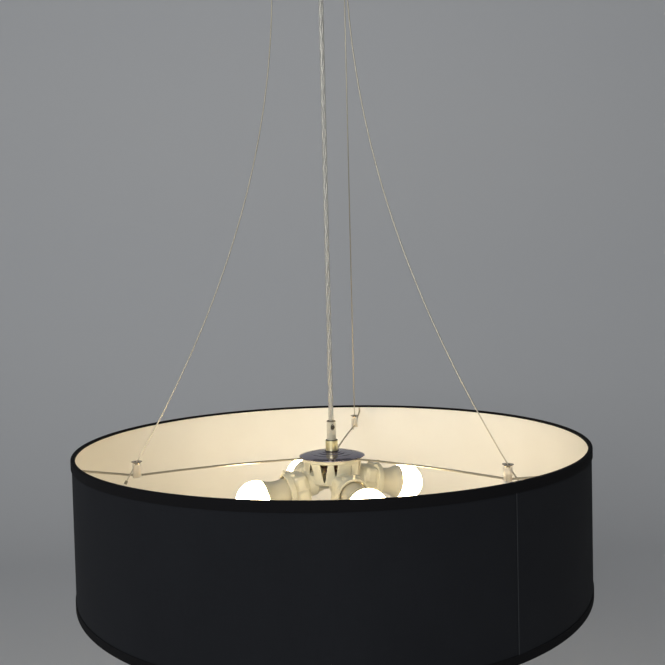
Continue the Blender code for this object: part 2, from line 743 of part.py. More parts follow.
# Cord grip and its clamp screw, then the sleeve, the tube, the disc and the nut
def build_cord_grip():
    bore = CORD_R + GAP
    top = CORD_GRIP_Z + CORD_GRIP_H
    band = top - CORD_GRIP_BAND_H
    points = [
        (bore, top),
        (CORD_GRIP_R, top),
        (CORD_GRIP_R, band),
        (CORD_GRIP_R - CORD_GRIP_BAND_IN, band - CORD_GRIP_BAND_IN),
        (CORD_GRIP_R, band - 2 * CORD_GRIP_BAND_IN),
        (CORD_GRIP_R, CORD_GRIP_Z),
        (CORD_GRIP_STEM_R, CORD_GRIP_Z),
        (CORD_GRIP_STEM_R, CORD_GRIP_Z - CORD_GRIP_STEM_L),
        (bore, CORD_GRIP_Z - CORD_GRIP_STEM_L),
    ]
    grip = turned("cord_grip", points, SMALL_STEPS, CLEAR)
    clamp_z = top - CLAMP_DROP
    level = Matrix.Translation((0, 0, clamp_z)) @ Matrix.Rotation(CLAMP_TURN, 4, "Z")
    seat = empty("clamp_seat", level @ Matrix.Rotation(TURN / 4, 4, "Y"))
    reach = CORD_GRIP_R + OVERRUN
    hole = cutter(
        "clamp_hole",
        rod_mesh("hole", CLAMP_R + GAP, reach, TINY_STEPS),
        Matrix.Translation((0, 0, reach / 2)),
        seat,
    )
    boolean(grip, hole)
    head = CORD_GRIP_R + GAP
    points = [
        (0, head + CLAMP_HEAD_L),
        (CLAMP_HEAD_R, head + CLAMP_HEAD_L),
        (CLAMP_HEAD_R, head),
        (CLAMP_R, head),
        (CLAMP_R, CORD_R + GAP),
        (0, CORD_R + GAP),
    ]
    screw_piece = turned("cord_grip_screw", points, TINY_STEPS, DARK_METAL, closed=False, parent=seat)
    slot = cutter(
        "clamp_slot",
        box_mesh("slot", (2 * CLAMP_HEAD_R + OVERRUN, CLAMP_SLOT_W, 2 * CLAMP_SLOT_DEEP)),
        Matrix.Translation((0, 0, head + CLAMP_HEAD_L)),
        seat,
    )
    boolean(screw_piece, slot)


def build_sleeve():
    top = SLEEVE_Z + SLEEVE_H
    points = [
        (SLEEVE_BORE_R, top),
        (SLEEVE_R - SLEEVE_CHAMFER, top),
        (SLEEVE_R, top - SLEEVE_CHAMFER),
        (SLEEVE_R, SLEEVE_Z + SLEEVE_CHAMFER),
        (SLEEVE_R - SLEEVE_CHAMFER, SLEEVE_Z),
        (SLEEVE_BORE_R, SLEEVE_Z),
    ]
    return turned("coupling_sleeve", points, SMALL_STEPS, NICKEL)


def build_tube():
    top = SLEEVE_Z + TUBE_IN_SLEEVE
    points = [(TUBE_R, top), (TUBE_R, TUBE_Z), (TUBE_BORE_R, TUBE_Z), (TUBE_BORE_R, top)]
    return turned("threaded_tube", points, SMALL_STEPS, ZINC)


# The disc's outline as shares: of the way out from the boss, and of its rise
DISC_STEP_SHARES = ((0.0, 0.78), (0.17, 0.76), (0.20, 0.66), (0.62, 0.52), (0.86, 0.34), (1.0, 0.08))


def build_disc():
    bore = TUBE_R + GAP
    out = DISC_R - DISC_BOSS_R
    points = [(bore, SEAT_Z + DISC_RISE), (DISC_BOSS_R, SEAT_Z + DISC_RISE)]
    points += [(DISC_BOSS_R + out * x, SEAT_Z + DISC_RISE * z) for x, z in DISC_STEP_SHARES]
    lip = DISC_R - DISC_T
    points += [(DISC_R, SEAT_Z), (lip, SEAT_Z), (lip - DISC_T, SEAT_Z + DISC_T / 2)]
    points += [(DISC_SEAT_R + DISC_T, SEAT_Z + DISC_T), (DISC_SEAT_R, SEAT_Z), (bore, SEAT_Z)]
    return turned("cover_disc", points, HUB_STEPS, CHROME)


def build_nut():
    bm = bmesh.new()
    corner = NUT_AF / 2 / math.cos(TURN / 12)
    bmesh.ops.create_cone(
        bm, cap_ends=True, segments=6, radius1=corner, radius2=corner, depth=NUT_H
    )
    mesh = bpy.data.meshes.new("hub_nut")
    bm.to_mesh(mesh)
    bm.free()
    nut = add("hub_nut", mesh, ZINC, at=(0, 0, NUT_Z - NUT_H / 2))
    hole = cutter(
        "nut_hole",
        rod_mesh("hole", TUBE_R + GAP, NUT_H + OVERRUN, SMALL_STEPS),
        Matrix.Translation((0, 0, NUT_Z - NUT_H / 2)),
    )
    boolean(nut, hole)
    return nut


# Spider: the hub plate and the spokes that are welded to it and to the top ring
def build_spider_hub():
    top, foot = SPIDER_Z + WIRE_R, SPIDER_Z - WIRE_R
    bore = TUBE_R + GAP
    points = [(bore, top), (SPIDER_HUB_R, top), (SPIDER_HUB_R, foot), (bore, foot)]
    return turned("spider_hub", points, SMALL_STEPS, WIRE)


def spoke_route():
    """A spoke along +X, from the hub over its bend and knee up to the ring."""
    start = (SPIDER_HUB_R + GAP, 0, SPIDER_Z)
    run = BEND_R - DISC_R
    shares = [i / SPOKE_ARCH_STEPS for i in range(SPOKE_ARCH_STEPS + 1)]
    arch = [(DISC_R + run * x, 0, SPIDER_Z + 4 * SPOKE_ARCH * x * (1 - x)) for x in shares]
    upright = LINING_FLAT_R - GAP - WIRE_R
    knee_z = RIM_Z - KNEE_DROP
    weld_z = RIM_Z - RING_IN_Z - WIRE_R - GAP
    bends = softened(
        [
            arch[-2],
            arch[-1],
            (upright - KNEE_IN, 0, knee_z),
            (upright, 0, knee_z + KNEE_IN / 2),
            (upright, 0, weld_z),
        ],
        BEND_REACH / 2,
        BEND_STEPS,
    )
    return [Vector(p) for p in [start] + arch[:-2]] + bends


def build_spoke(k):
    turn = SPOKE_TURN + k * TURN / SPOKES
    return tube(f"spoke_{k + 1}", spoke_route(), WIRE_R, WIRE, turn=turn)


# Shade: two rings, lining, fabric and the two tapes
def build_ring(name, z):
    bpy.ops.mesh.primitive_torus_add(
        major_radius=RING_AT_R, minor_radius=WIRE_R, major_segments=SHADE_STEPS,
        minor_segments=6, location=(0, 0, z),
    )
    ring = bpy.context.object
    for home in list(ring.users_collection):
        home.objects.unlink(ring)
    PARTS.objects.link(ring)
    ring.name = name
    ring.data.materials.append(WIRE)
    return ring


def build_wall(name, radius, thick, mat):
    """One layer of the shade's wall, between the two tapes."""
    top, foot = RIM_Z - TAPE_T - GAP, FOOT_Z + TAPE_T + GAP
    points = [(radius, top), (radius, foot), (radius - thick, foot), (radius - thick, top)]
    return turned(name, points, SHADE_STEPS, mat)


def build_tape(name, edge, inward):
    """Tape folded over an edge; inward is -1 where the shade lies below the edge."""
    outer = SHADE_R + GAP + TAPE_T
    inner = RING_AT_R - WIRE_R - GAP - TAPE_T
    fold = edge + inward * TAPE_T
    leg = edge + inward * TAPE_H
    short_leg = edge + inward * (RING_IN_Z + WIRE_R)
    points = [
        (outer, edge),
        (outer, leg),
        (outer - TAPE_T, leg),
        (outer - TAPE_T, fold),
        (inner + TAPE_T, fold),
        (inner + TAPE_T, short_leg),
        (inner, short_leg),
        (inner, edge),
    ]
    if inward > 0:
        points.reverse()
    return turned(name, points, SHADE_STEPS, BLACK_TAPE)


# Lampholder: one white moulding with a hub, four cups and the openings between them
def lamp_matrix(k):
    """A frame at a cup's mouth with Z out along the lamp's axis."""
    turn = LAMP_TURN + k * TURN / LAMPS
    out = Matrix.Rotation(turn, 4, "Z") @ Matrix.Rotation(TURN / 4 + LAMP_TILT, 4, "Y")
    return Matrix.Translation((0, 0, CROSS_Z)) @ out @ Matrix.Translation((0, 0, MOUTH_S))


# The cup's outline as shares: of its length behind the lip, and of its widening
CUP_SHARES = ((0.0, 1.0), (0.22, 0.86), (0.40, 0.50), (0.58, 0.22), (1.0, 0.0))


def build_lampholder(seats):
    ring_top = SEAT_Z - 2 * GAP
    ring_in = HUB_R - HUB_RING_T
    foot = PLATE_Z - HUB_H
    bore = TUBE_R + GAP
    under = PLATE_Z - HUB_PLATE_T
    ring_foot = ring_top - HUB_RING_H
    wall_r = HUB_R - HUB_RING_T / 2
    points = [
        (0, foot - HUB_DOME + HUB_WALL_T),
        (HUB_FOOT_R - HUB_WALL_T, foot + HUB_WALL_T),
        (wall_r - HUB_WALL_T, under),
        (bore, under),
        (bore, PLATE_Z),
        (ring_in, PLATE_Z),
        (ring_in, ring_top),
        (HUB_R, ring_top),
        (HUB_R, ring_foot),
        (wall_r, ring_foot),
        (HUB_FOOT_R, foot),
        (0, foot - HUB_DOME),
    ]
    holder = turned("lampholder", points, HUB_STEPS, WHITE, closed=False)
    for k in range(SPOKES):
        turn = SPOKE_TURN + k * TURN / SPOKES
        deep = 2 * (ring_top - SPIDER_Z + WIRE_R + GAP)
        notch = cutter(
            f"spoke_notch_{k + 1}",
            box_mesh("notch", (2 * HUB_RING_T + OVERRUN, NOTCH_W, deep)),
            Matrix.Rotation(turn, 4, "Z") @ Matrix.Translation((HUB_R - HUB_RING_T / 2, 0, ring_top)),
        )
        boolean(holder, notch)
    gap_h = HUB_H - HUB_PLATE_T - 2 * HUB_WALL_T
    gap_z = under - GAP - gap_h / 2
    window_z = ring_foot - GAP - WINDOW_H / 2
    deep = 2 * HUB_WALL_T + OVERRUN
    wall_mid = (wall_r + HUB_FOOT_R - HUB_WALL_T) / 2
    for k in range(LAMPS):
        turn = LAMP_TURN + k * TURN / LAMPS
        ways = [("gap", turn + TURN / LAMPS / 2 + GAP_TURN, GAP_TOP_W, GAP_FOOT_W, gap_h, gap_z)]
        for side, sign in (("left", 1), ("right", -1)):
            ways.append(
                (f"window_{side}", turn + sign * WINDOW_TURN, WINDOW_TOP_W, WINDOW_FOOT_W, WINDOW_H, window_z)
            )
        for label, way, top_w, foot_w, height, z in ways:
            opening = cutter(
                f"hub_{label}_{k + 1}",
                wedge_mesh(label, top_w, foot_w, height, deep),
                Matrix.Rotation(way, 4, "Z") @ Matrix.Translation((wall_mid, 0, z)),
            )
            boolean(holder, opening)
    neck = CUP_BACK - CUP_LIP_L
    widening = CUP_R - CUP_BACK_R
    outline = [(0, 0), (CUP_LIP_R, 0), (CUP_LIP_R, -CUP_LIP_L)]
    outline += [(CUP_BACK_R + widening * w, -CUP_LIP_L - neck * x) for x, w in CUP_SHARES]
    outline += [(0, -CUP_BACK)]
    tab_z = -CUP_LIP_L / 2
    for k, seat in enumerate(seats):
        cup = guide(turned(f"cup_{k + 1}", outline, CUP_STEPS, WHITE, closed=False, parent=seat))
        boolean(holder, cup, "UNION")
        tab = cutter(
            f"cup_tab_{k + 1}",
            box_mesh("tab", (TAB_H + OVERRUN, TAB_W, TAB_L)),
            Matrix.Translation((-CUP_LIP_R - (TAB_H - OVERRUN) / 2, 0, tab_z)),
            seat,
        )
        boolean(holder, tab, "UNION")
        deep_bore = CAP_R + SHELL_FIT + SHELL_T + GAP
        bore_points = [
            (0, OVERRUN),
            (CUP_MOUTH_R, OVERRUN),
            (CUP_MOUTH_R, -CUP_MOUTH_DEEP),
            (deep_bore, -CUP_MOUTH_DEEP),
            (deep_bore, -CUP_DEEP),
            (0, -CUP_DEEP),
        ]
        well = guide(turned(f"cup_well_{k + 1}", bore_points, CUP_STEPS, WHITE, closed=False, parent=seat))
        boolean(holder, well)
    return holder


# Screw shell in a cup
def build_shell(k, seat):
    inner = CAP_R + SHELL_FIT
    top, foot = -SHELL_TOP, -SHELL_TOP - SHELL_L
    points = [(inner + SHELL_T, top), (inner + SHELL_T, foot), (inner, foot), (inner, top)]
    return turned(f"screw_shell_{k + 1}", points, CUP_STEPS, BRASS, parent=seat)


# The bulb skirt's outline as shares: of its length, and of its widening from the mouth
SKIRT_SHARES = ((1.0, 1.0), (0.90, 0.84), (0.76, 0.42), (0.60, 0.10), (0.34, -0.03), (0.0, 0.0))


# Bulb: contact, screw cap, white skirt and opal globe, all turned about one axis
def build_bulb(k, seat):
    foot = -CAP_TOP - CAP_L
    contact_top = foot - GAP
    shoulder = min(CONTACT_SHOULDER_R, CAP_R)
    turned(
        f"bulb_contact_{k + 1}",
        [
            (0, contact_top),
            (shoulder, contact_top),
            (CONTACT_TIP_R, contact_top - CONTACT_L + CONTACT_TIP_L),
            (CONTACT_TIP_R, contact_top - CONTACT_L),
            (0, contact_top - CONTACT_L),
        ],
        SMALL_STEPS,
        DARK_METAL,
        closed=False,
        parent=seat,
    )
    turned(
        f"bulb_cap_{k + 1}",
        [
            (CAP_R, -CAP_TOP),
            (CAP_R, foot + CAP_T),
            (CAP_R - CAP_T, foot),
            (CAP_FLOOR_R, foot),
            (CAP_FLOOR_R, foot + CAP_T),
            (CAP_R - CAP_T, foot + 2 * CAP_T),
            (CAP_R - CAP_T, -CAP_TOP),
        ],
        CUP_STEPS,
        NICKEL,
        parent=seat,
    )
    start = -CAP_TOP + GAP
    length = BULB_JOIN_S - start
    widening = BULB_JOIN_R - BULB_SKIRT_R
    outer = [(BULB_SKIRT_R + widening * w, start + length * x) for x, w in SKIRT_SHARES]
    inner = [(r - BULB_SKIRT_T, z) for r, z in reversed(outer)]
    inner[0] = (CAP_R - CAP_T, start)
    inner.insert(1, (CAP_R - CAP_T, start + BULB_SKIRT_T))
    inner.insert(2, (BULB_SKIRT_R - BULB_SKIRT_T, start + BULB_SKIRT_T))
    turned(f"bulb_skirt_{k + 1}", outer + inner, BULB_STEPS, WHITE, parent=seat)
    join = BULB_JOIN_S + GAP
    middle = join + math.sqrt(GLOBE_R**2 - BULB_JOIN_R**2)
    inner_r = GLOBE_R - GLOBE_T
    low = math.asin((join - middle) / GLOBE_R)
    inner_low = math.asin((join - middle) / inner_r)
    outer = arc((0, middle), GLOBE_R, TURN / 4, low, GLOBE_ARC_STEPS)
    inner = arc((0, middle), inner_r, inner_low, TURN / 4, GLOBE_ARC_STEPS)
    outer[0], inner[-1] = (0, middle + GLOBE_R), (0, middle + inner_r)
    turned(f"bulb_globe_{k + 1}", outer + inner, BULB_STEPS, OPAL, closed=False, parent=seat)


# Wiring: a joint block under the tube with a lead to the back of each cup
def build_wiring():
    top = TUBE_Z - GAP
    middle = top - WIRING_H / 2
    block = add(
        "hub_wiring", box_mesh("hub_wiring", (WIRING_W, WIRING_W, WIRING_H), WIRING_EDGE),
        BROWN_WIRE, at=(0, 0, middle), turn=LAMP_TURN,
    )
    back = MOUTH_S - CUP_BACK - GAP
    lean, level = math.sin(LAMP_TILT), math.cos(LAMP_TILT)
    end = (back * level + LEAD_UP * lean, 0, CROSS_Z - back * lean + LEAD_UP * level)
    out = WIRING_W / 2 + LEAD_OUT
    route = softened([(WIRING_W / 4, 0, middle), (out, 0, middle), end], LEAD_OUT / 2, BEND_STEPS)
    for k in range(LAMPS):
        turn = LAMP_TURN + k * TURN / LAMPS
        lead = as_mesh(tube(f"lead_{k + 1}", route, LEAD_R, BROWN_WIRE, turn=turn))
        boolean(block, guide(lead), "UNION")
    return block


def build():
    build_strap()
    build_canopy()
    build_terminal_block()
    build_cord_entry()
    build_power_cord()
    for k in range(SPOKES):
        build_anchor(k)
        build_cable(k)
        build_spoke(k)
        build_grip(k)
    build_cord_grip()
    build_sleeve()
    build_tube()
    build_disc()
    build_nut()
    build_spider_hub()
    build_ring("top_ring", RIM_Z - RING_IN_Z)
    build_ring("bottom_ring", FOOT_Z + RING_IN_Z)
    build_wall("shade_lining", LINING_R, LINING_T, LINING)
    build_wall("shade_fabric", SHADE_R, FABRIC_T, BLACK_FABRIC)
    build_tape("top_tape", RIM_Z, -1)
    build_tape("bottom_tape", FOOT_Z, 1)
    seats = [empty(f"lamp_seat_{k + 1}", lamp_matrix(k)) for k in range(LAMPS)]
    build_lampholder(seats)
    for k, seat in enumerate(seats):
        build_shell(k, seat)
        build_bulb(k, seat)
    build_wiring()


build()
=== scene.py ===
"""Drum shade chandelier on steel cables: fine shapes, finishes, camera and studio.

Metres, +Z up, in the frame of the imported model. The ceiling is at height 0 and the
shade hangs below it. Azimuth 0 looks along +Y, as the photograph does.
"""

import math

import bmesh
import bpy
from mathutils import Matrix, Vector


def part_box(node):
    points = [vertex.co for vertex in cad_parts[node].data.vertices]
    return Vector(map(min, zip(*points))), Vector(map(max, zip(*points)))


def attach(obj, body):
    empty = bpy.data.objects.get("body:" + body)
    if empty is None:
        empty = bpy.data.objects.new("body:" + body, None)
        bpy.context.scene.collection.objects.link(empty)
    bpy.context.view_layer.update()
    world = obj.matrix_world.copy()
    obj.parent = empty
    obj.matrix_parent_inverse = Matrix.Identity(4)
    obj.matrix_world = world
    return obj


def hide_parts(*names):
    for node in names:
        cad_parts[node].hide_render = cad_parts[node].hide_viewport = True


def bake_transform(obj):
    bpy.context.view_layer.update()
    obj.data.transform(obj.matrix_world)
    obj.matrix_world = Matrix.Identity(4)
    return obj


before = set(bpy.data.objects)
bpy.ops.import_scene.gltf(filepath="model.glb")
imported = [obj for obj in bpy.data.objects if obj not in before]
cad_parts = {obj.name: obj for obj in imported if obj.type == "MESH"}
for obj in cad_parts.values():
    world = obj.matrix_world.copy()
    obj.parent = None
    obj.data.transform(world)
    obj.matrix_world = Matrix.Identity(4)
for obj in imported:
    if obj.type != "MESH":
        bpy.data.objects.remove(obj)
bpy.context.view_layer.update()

# Camera: it stands just above the shade's rim and looks almost level across it, so the
# rim shows as a flat ellipse and the upper ends of the cables leave the picture.
CAMERA_BACK = 0.924
CAMERA_RISE = 0.161
CAMERA_SIDE = -0.0025
CAMERA_YAW = math.radians(0.42)
CAMERA_PITCH = math.radians(-2.015)
CAMERA_ROLL = math.radians(-1.38)
CAMERA_FOV = math.radians(47.1)

rim_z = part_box("top_tape")[1].z
foot_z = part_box("bottom_tape")[0].z
lens = bpy.data.cameras.new("photo_camera")
lens.sensor_width = 36
lens.lens = lens.sensor_width / 2 / math.tan(CAMERA_FOV / 2)
lens.clip_start = 0.01
camera = bpy.data.objects.new("photo_camera", lens)
bpy.context.scene.collection.objects.link(camera)
camera.matrix_world = (
    Matrix.Translation((CAMERA_SIDE, -CAMERA_BACK, rim_z + CAMERA_RISE))
    @ Matrix.Rotation(-CAMERA_YAW, 4, "Z")
    @ Matrix.Rotation(math.pi / 2 + CAMERA_PITCH, 4, "X")
    @ Matrix.Rotation(CAMERA_ROLL, 4, "Z")
)
bpy.context.scene.camera = camera

# Studio: a plain grey floor that curves up into a wall, under a soft lamp in front and a
# weak one above. The bulbs add their own warm light inside the shade.
FLOOR_DROP = 0.42
WALL_BACK = 2.2
WALL_TOP = 2.2
COVE = 0.9
COVE_STEPS = 12
STUDIO_HALF = 4.0
STUDIO_GREY = 0.64
SKY_LIGHT = 0.18
HORIZON_LIGHT = 0.56
LEFT_LIGHT = 1.10
RIGHT_LIGHT = 0.28


def node(tree, kind, inputs=None, **values):
    """A shader node with its settings. Inputs hold numbers, colours or sockets to link."""
    made = tree.nodes.new("ShaderNode" + kind)
    for name, value in values.items():
        setattr(made, name, value)
    for name, value in (inputs or {}).items():
        if isinstance(value, bpy.types.NodeSocket):
            tree.links.new(value, made.inputs[name])
        else:
            made.inputs[name].default_value = value
    return made


def mixed(tree, level, low, high):
    """A colour between two others."""
    return node(tree, "MixRGB", {"Fac": level, "Color1": low, "Color2": high}).outputs["Color"]


def faded(tree, value, start, end, first, last):
    """A value between two limits, turned into one between two others."""
    span = {"From Min": start, "From Max": end, "To Min": first, "To Max": last}
    return node(tree, "MapRange", {"Value": value, **span}).outputs["Result"]


def material(name, colour, roughness, metallic=0.0, **sockets):
    """A Principled material, whose fixed values sit on the shader's own sockets."""
    made = bpy.data.materials.new(name)
    made.use_nodes = True
    shader = made.node_tree.nodes["Principled BSDF"]
    sockets = {"Base_Color": (*colour, 1), "Roughness": roughness, "Metallic": metallic, **sockets}
    for socket, value in sockets.items():
        shader.inputs[socket.replace("_", " ")].default_value = value
    return made, made.node_tree


def feed(tree, **sockets):
    """Links what varies over a surface to its material's shader."""
    shader = tree.nodes["Principled BSDF"]
    for socket, output in sockets.items():
        tree.links.new(output, shader.inputs[socket.replace("_", " ")])


def show(name, bm, mat, smooth_angle=math.radians(35)):
    """The finished bmesh as a visible object at the origin."""
    mesh = bpy.data.meshes.new(name)
    bm.to_mesh(mesh)
    bm.free()
    mesh.shade_smooth()
    mesh.set_sharp_from_angle(angle=smooth_angle)
    mesh.materials.append(mat)
    made = bpy.data.objects.new(name, mesh)
    bpy.context.scene.collection.objects.link(made)
    return made


def lamp(name, place, target, size, energy, colour=(1, 1, 1)):
    """A soft square lamp that faces a point."""
    light = bpy.data.lights.new(name, "AREA")
    light.size = size
    light.energy = energy
    light.color = colour
    made = bpy.data.objects.new(name, light)
    bpy.context.scene.collection.objects.link(made)
    made.location = place
    made.rotation_euler = (Vector(target) - Vector(place)).to_track_quat("-Z", "Y").to_euler()


studio, tree = material("studio_pale", (STUDIO_GREY,) * 3, 0.9)
grain = node(tree, "TexNoise", {"Scale": 3.0, "Detail": 3.0}).outputs["Fac"]
dim = (STUDIO_GREY * 0.98, STUDIO_GREY * 0.985, STUDIO_GREY, 1)
pale = (STUDIO_GREY * 1.02, STUDIO_GREY * 1.02, STUDIO_GREY * 1.02, 1)
feed(tree, Base_Color=mixed(tree, grain, dim, pale))

floor_z = foot_z - FLOOR_DROP
bm = bmesh.new()
line = [bm.verts.new((-STUDIO_HALF, -STUDIO_HALF, floor_z))]
for step in range(COVE_STEPS + 1):
    angle = math.pi / 2 * step / COVE_STEPS
    run = WALL_BACK - COVE + COVE * math.sin(angle)
    line.append(bm.verts.new((-STUDIO_HALF, run, floor_z + COVE * (1 - math.cos(angle)))))
line.append(bm.verts.new((-STUDIO_HALF, WALL_BACK, floor_z + WALL_TOP)))
edges = [bm.edges.new(pair) for pair in zip(line, line[1:])]
swept = bmesh.ops.extrude_edge_only(bm, edges=edges)["geom"]
far_side = [v for v in swept if isinstance(v, bmesh.types.BMVert)]
bmesh.ops.translate(bm, vec=(2 * STUDIO_HALF, 0, 0), verts=far_side)
bmesh.ops.recalc_face_normals(bm, faces=bm.faces)
show("studio_backdrop", bm, studio)

middle = (0, 0, (rim_z + foot_z) / 2)
lamp("key_lamp", (-0.7, -2.5, 0.3), middle, 1.4, 36, (0.95, 0.98, 1.0))
lamp("top_lamp", (0.2, 0.3, 1.6), middle, 1.6, 2.5)

world = bpy.data.worlds.new("studio_world")
bpy.context.scene.world = world
world.use_nodes = True
tree = world.node_tree
way = node(tree, "TexCoord").outputs["Generated"]
parts = node(tree, "SeparateXYZ", {"Vector": way}).outputs
level = faded(tree, parts["Z"], 0.30, 0.65, HORIZON_LIGHT, SKY_LIGHT)
sides = faded(tree, parts["X"], -1.0, 1.0, LEFT_LIGHT, RIGHT_LIGHT)
light = node(tree, "Math", {0: level, 1: sides}, operation="MULTIPLY").outputs[0]
sky = tree.nodes["Background"]
sky.inputs["Color"].default_value = (0.93, 0.96, 1.0, 1)
tree.links.new(light, sky.inputs["Strength"])
bpy.context.scene.view_settings.view_transform = "Standard"

# Shared effects: handling marks vary a surface's tone, gloss and height a little, and
# the plain weave crosses warp and weft threads at their real pitch.
TURN = 2 * math.pi


def group(name, inputs, outputs):
    """An empty shader group, with the sockets that come in and go out."""
    made = bpy.data.node_groups.new(name, "ShaderNodeTree")
    for way, sockets in (("INPUT", inputs), ("OUTPUT", outputs)):
        for socket, kind in sockets.items():
            made.interface.new_socket(name=socket, in_out=way, socket_type="NodeSocket" + kind)
    given, out = made.nodes.new("NodeGroupInput"), made.nodes.new("NodeGroupOutput")
    return made, given.outputs, out.inputs


def maths(tree, operation, *values):
    """The socket of one sum."""
    return node(tree, "Math", dict(enumerate(values)), operation=operation).outputs[0]


def total(tree, start, *terms):
    """A level plus others, each times its weight."""
    for level, weight in terms:
        start = maths(tree, "MULTIPLY_ADD", level, weight, start)
    return start


def noise(tree, place, scale, detail):
    """The level of a soft random pattern."""
    values = {"Vector": place, "Scale": scale, "Detail": detail}
    return node(tree, "TexNoise", values).outputs["Fac"]


def bump(tree, height, strength, depth=0.0002):
    """The normal of a surface with small heights on it."""
    values = {"Height": height, "Strength": strength, "Distance": depth}
    return node(tree, "Bump", values).outputs["Normal"]


def rounded_rows(tree, place, rate):
    """The height of round threads that lie side by side."""
    return maths(tree, "ABSOLUTE", maths(tree, "SINE", maths(tree, "MULTIPLY", place, rate)))


handling, given, out = group(
    "handling",
    {
        "Vector": "Vector", "Colour": "Color", "Scale": "Float",
        "Tone": "Float", "Gloss": "Float", "Spread": "Float",
    },
    {"Colour": "Color", "Roughness": "Float", "Height": "Float"},
)
broad = noise(handling, given["Vector"], given["Scale"], 5.0)
fine = noise(handling, given["Vector"], maths(handling, "MULTIPLY", given["Scale"], 9.0), 3.0)
swing = total(handling, -1.0, (broad, 1.3), (fine, 0.7))
value = total(handling, 1.0, (swing, given["Tone"]))
toned = node(handling, "HueSaturation", {"Color": given["Colour"], "Value": value})
handling.links.new(toned.outputs["Color"], out["Colour"])
handling.links.new(total(handling, given["Gloss"], (swing, given["Spread"])), out["Roughness"])
handling.links.new(fine, out["Height"])

weave, given, out = group(
    "plain_weave", {"Vector": "Vector", "Pitch": "Float"}, {"Height": "Float", "Thread": "Float"}
)
parts = node(weave, "SeparateXYZ", {"Vector": given["Vector"]}).outputs
across = maths(weave, "DIVIDE", parts["X"], given["Pitch"])
up = maths(weave, "DIVIDE", parts["Y"], given["Pitch"])
cell = maths(weave, "ADD", maths(weave, "FLOOR", across), maths(weave, "FLOOR", up))
odd = maths(weave, "FLOORED_MODULO", cell, 2.0)
over = maths(weave, "MULTIPLY", rounded_rows(weave, across, math.pi), total(weave, 0.4, (odd, 0.6)))
under = maths(weave, "MULTIPLY", rounded_rows(weave, up, math.pi), total(weave, 1.0, (odd, -0.6)))
weave.links.new(maths(weave, "MAXIMUM", over, under), out["Height"])
slubs = []
for thick, long in ((0.5, 0.012), (0.012, 0.5)):
    run = {"X": maths(weave, "MULTIPLY", across, thick), "Y": maths(weave, "MULTIPLY", up, long)}
    slubs.append((noise(weave, node(weave, "CombineXYZ", run).outputs[0], 1.0, 2.0), 0.5))
weave.links.new(total(weave, 0.0, *slubs), out["Thread"])


def handled(name, colour, roughness, metallic, scale, tone, spread, relief):
    """A moulded or metal finish with handling marks on the piece's own coordinates."""
    made, tree = material(name, colour, roughness, metallic)
    place = node(tree, "TexCoord").outputs["Object"]
    values = {"Scale": scale, "Tone": tone, "Gloss": roughness, "Spread": spread}
    values = {"Vector": place, "Colour": (*colour, 1), **values}
    marks = node(tree, "Group", values, node_tree=handling).outputs
    normal = bump(tree, marks["Height"], relief)
    feed(tree, Base_Color=marks["Colour"], Roughness=marks["Roughness"], Normal=normal)
    return made


def dress(piece, body, slot, *nodes):
    """The piece rides on a body and stands for CAD nodes, which it hides. The slot is not used."""
    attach(piece, body)
    if nodes:
        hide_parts(*nodes)
    return piece


# Power cord: a clear round jacket over two twisted conductors in tinned copper braid.
# It hangs taut from the bush in the canopy to the clear grip over the lampholder.
CORD_R = 0.0030
CORD_SIDES = 20
STRAND_R = 0.00115
STRAND_SIDES = 10
STRAND_OUT = 0.00118
STRAND_LAY = 0.042

cord_low, cord_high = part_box("power_cord")

jacket_clear, tree = material(
    "cord_jacket_clear", (0.95, 0.92, 0.86), 0.18, Transmission_Weight=0.85, IOR=1.22
)
place = node(tree, "TexCoord").outputs["Object"]
flow = node(tree, "Mapping", {"Vector": place, "Scale": (60.0, 60.0, 3.0)}).outputs[0]
haze = noise(tree, flow, 6.0, 4.0)
feed(tree, Roughness=total(tree, 0.12, (haze, 0.14)), Normal=bump(tree, haze, 0.15))

braid, tree = material("tinned_braid", (0.72, 0.71, 0.66), 0.32, 0.85)
place = node(tree, "TexCoord").outputs["Object"]
values = {"Vector": place, "Scale": 420.0, "Distortion": 0.6}
twill = node(tree, "TexWave", values, bands_direction="DIAGONAL").outputs["Fac"]
tone = mixed(tree, twill, (0.52, 0.51, 0.47, 1), (0.80, 0.79, 0.74, 1))
feed(tree, Base_Color=tone, Normal=bump(tree, twill, 0.5))


def screwed(bm, turns, rise, steps):
    """Sweeps an outline along Z while it turns about Z."""
    bmesh.ops.spin(
        bm, geom=bm.verts[:] + bm.edges[:], cent=(0, 0, 0), axis=(0, 0, 1),
        dvec=(0, 0, rise / steps), angle=turns * TURN, steps=steps,
    )


def closed_bar(radius, sides, start, turns, rise, steps, valley=1.0):
    """A round or fluted bar that rises from a point and may twist, with closed ends."""
    bm = bmesh.new()
    ring = bmesh.ops.create_circle(bm, radius=radius, segments=sides)["verts"]
    for vert in ring[::2]:
        vert.co *= valley
    bmesh.ops.translate(bm, vec=start, verts=ring)
    screwed(bm, turns, rise, steps)
    bmesh.ops.holes_fill(bm, edges=[e for e in bm.edges if e.is_boundary], sides=0)
    bmesh.ops.recalc_face_normals(bm, faces=bm.faces)
    return bm


length = cord_high.z - cord_low.z
for name, side in (("cord_conductor_1", 1), ("cord_conductor_2", -1)):
    start = (side * STRAND_OUT, 0, cord_low.z)
    bm = closed_bar(STRAND_R, STRAND_SIDES, start, length / STRAND_LAY, length, 240)
    strand = show(name, bm, braid)
    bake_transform(strand)

bm = closed_bar(CORD_R, CORD_SIDES, (0, 0, cord_low.z), 0.0, length, 80)
jacket = show("cord_jacket", bm, jacket_clear)
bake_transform(jacket)
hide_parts("power_cord")

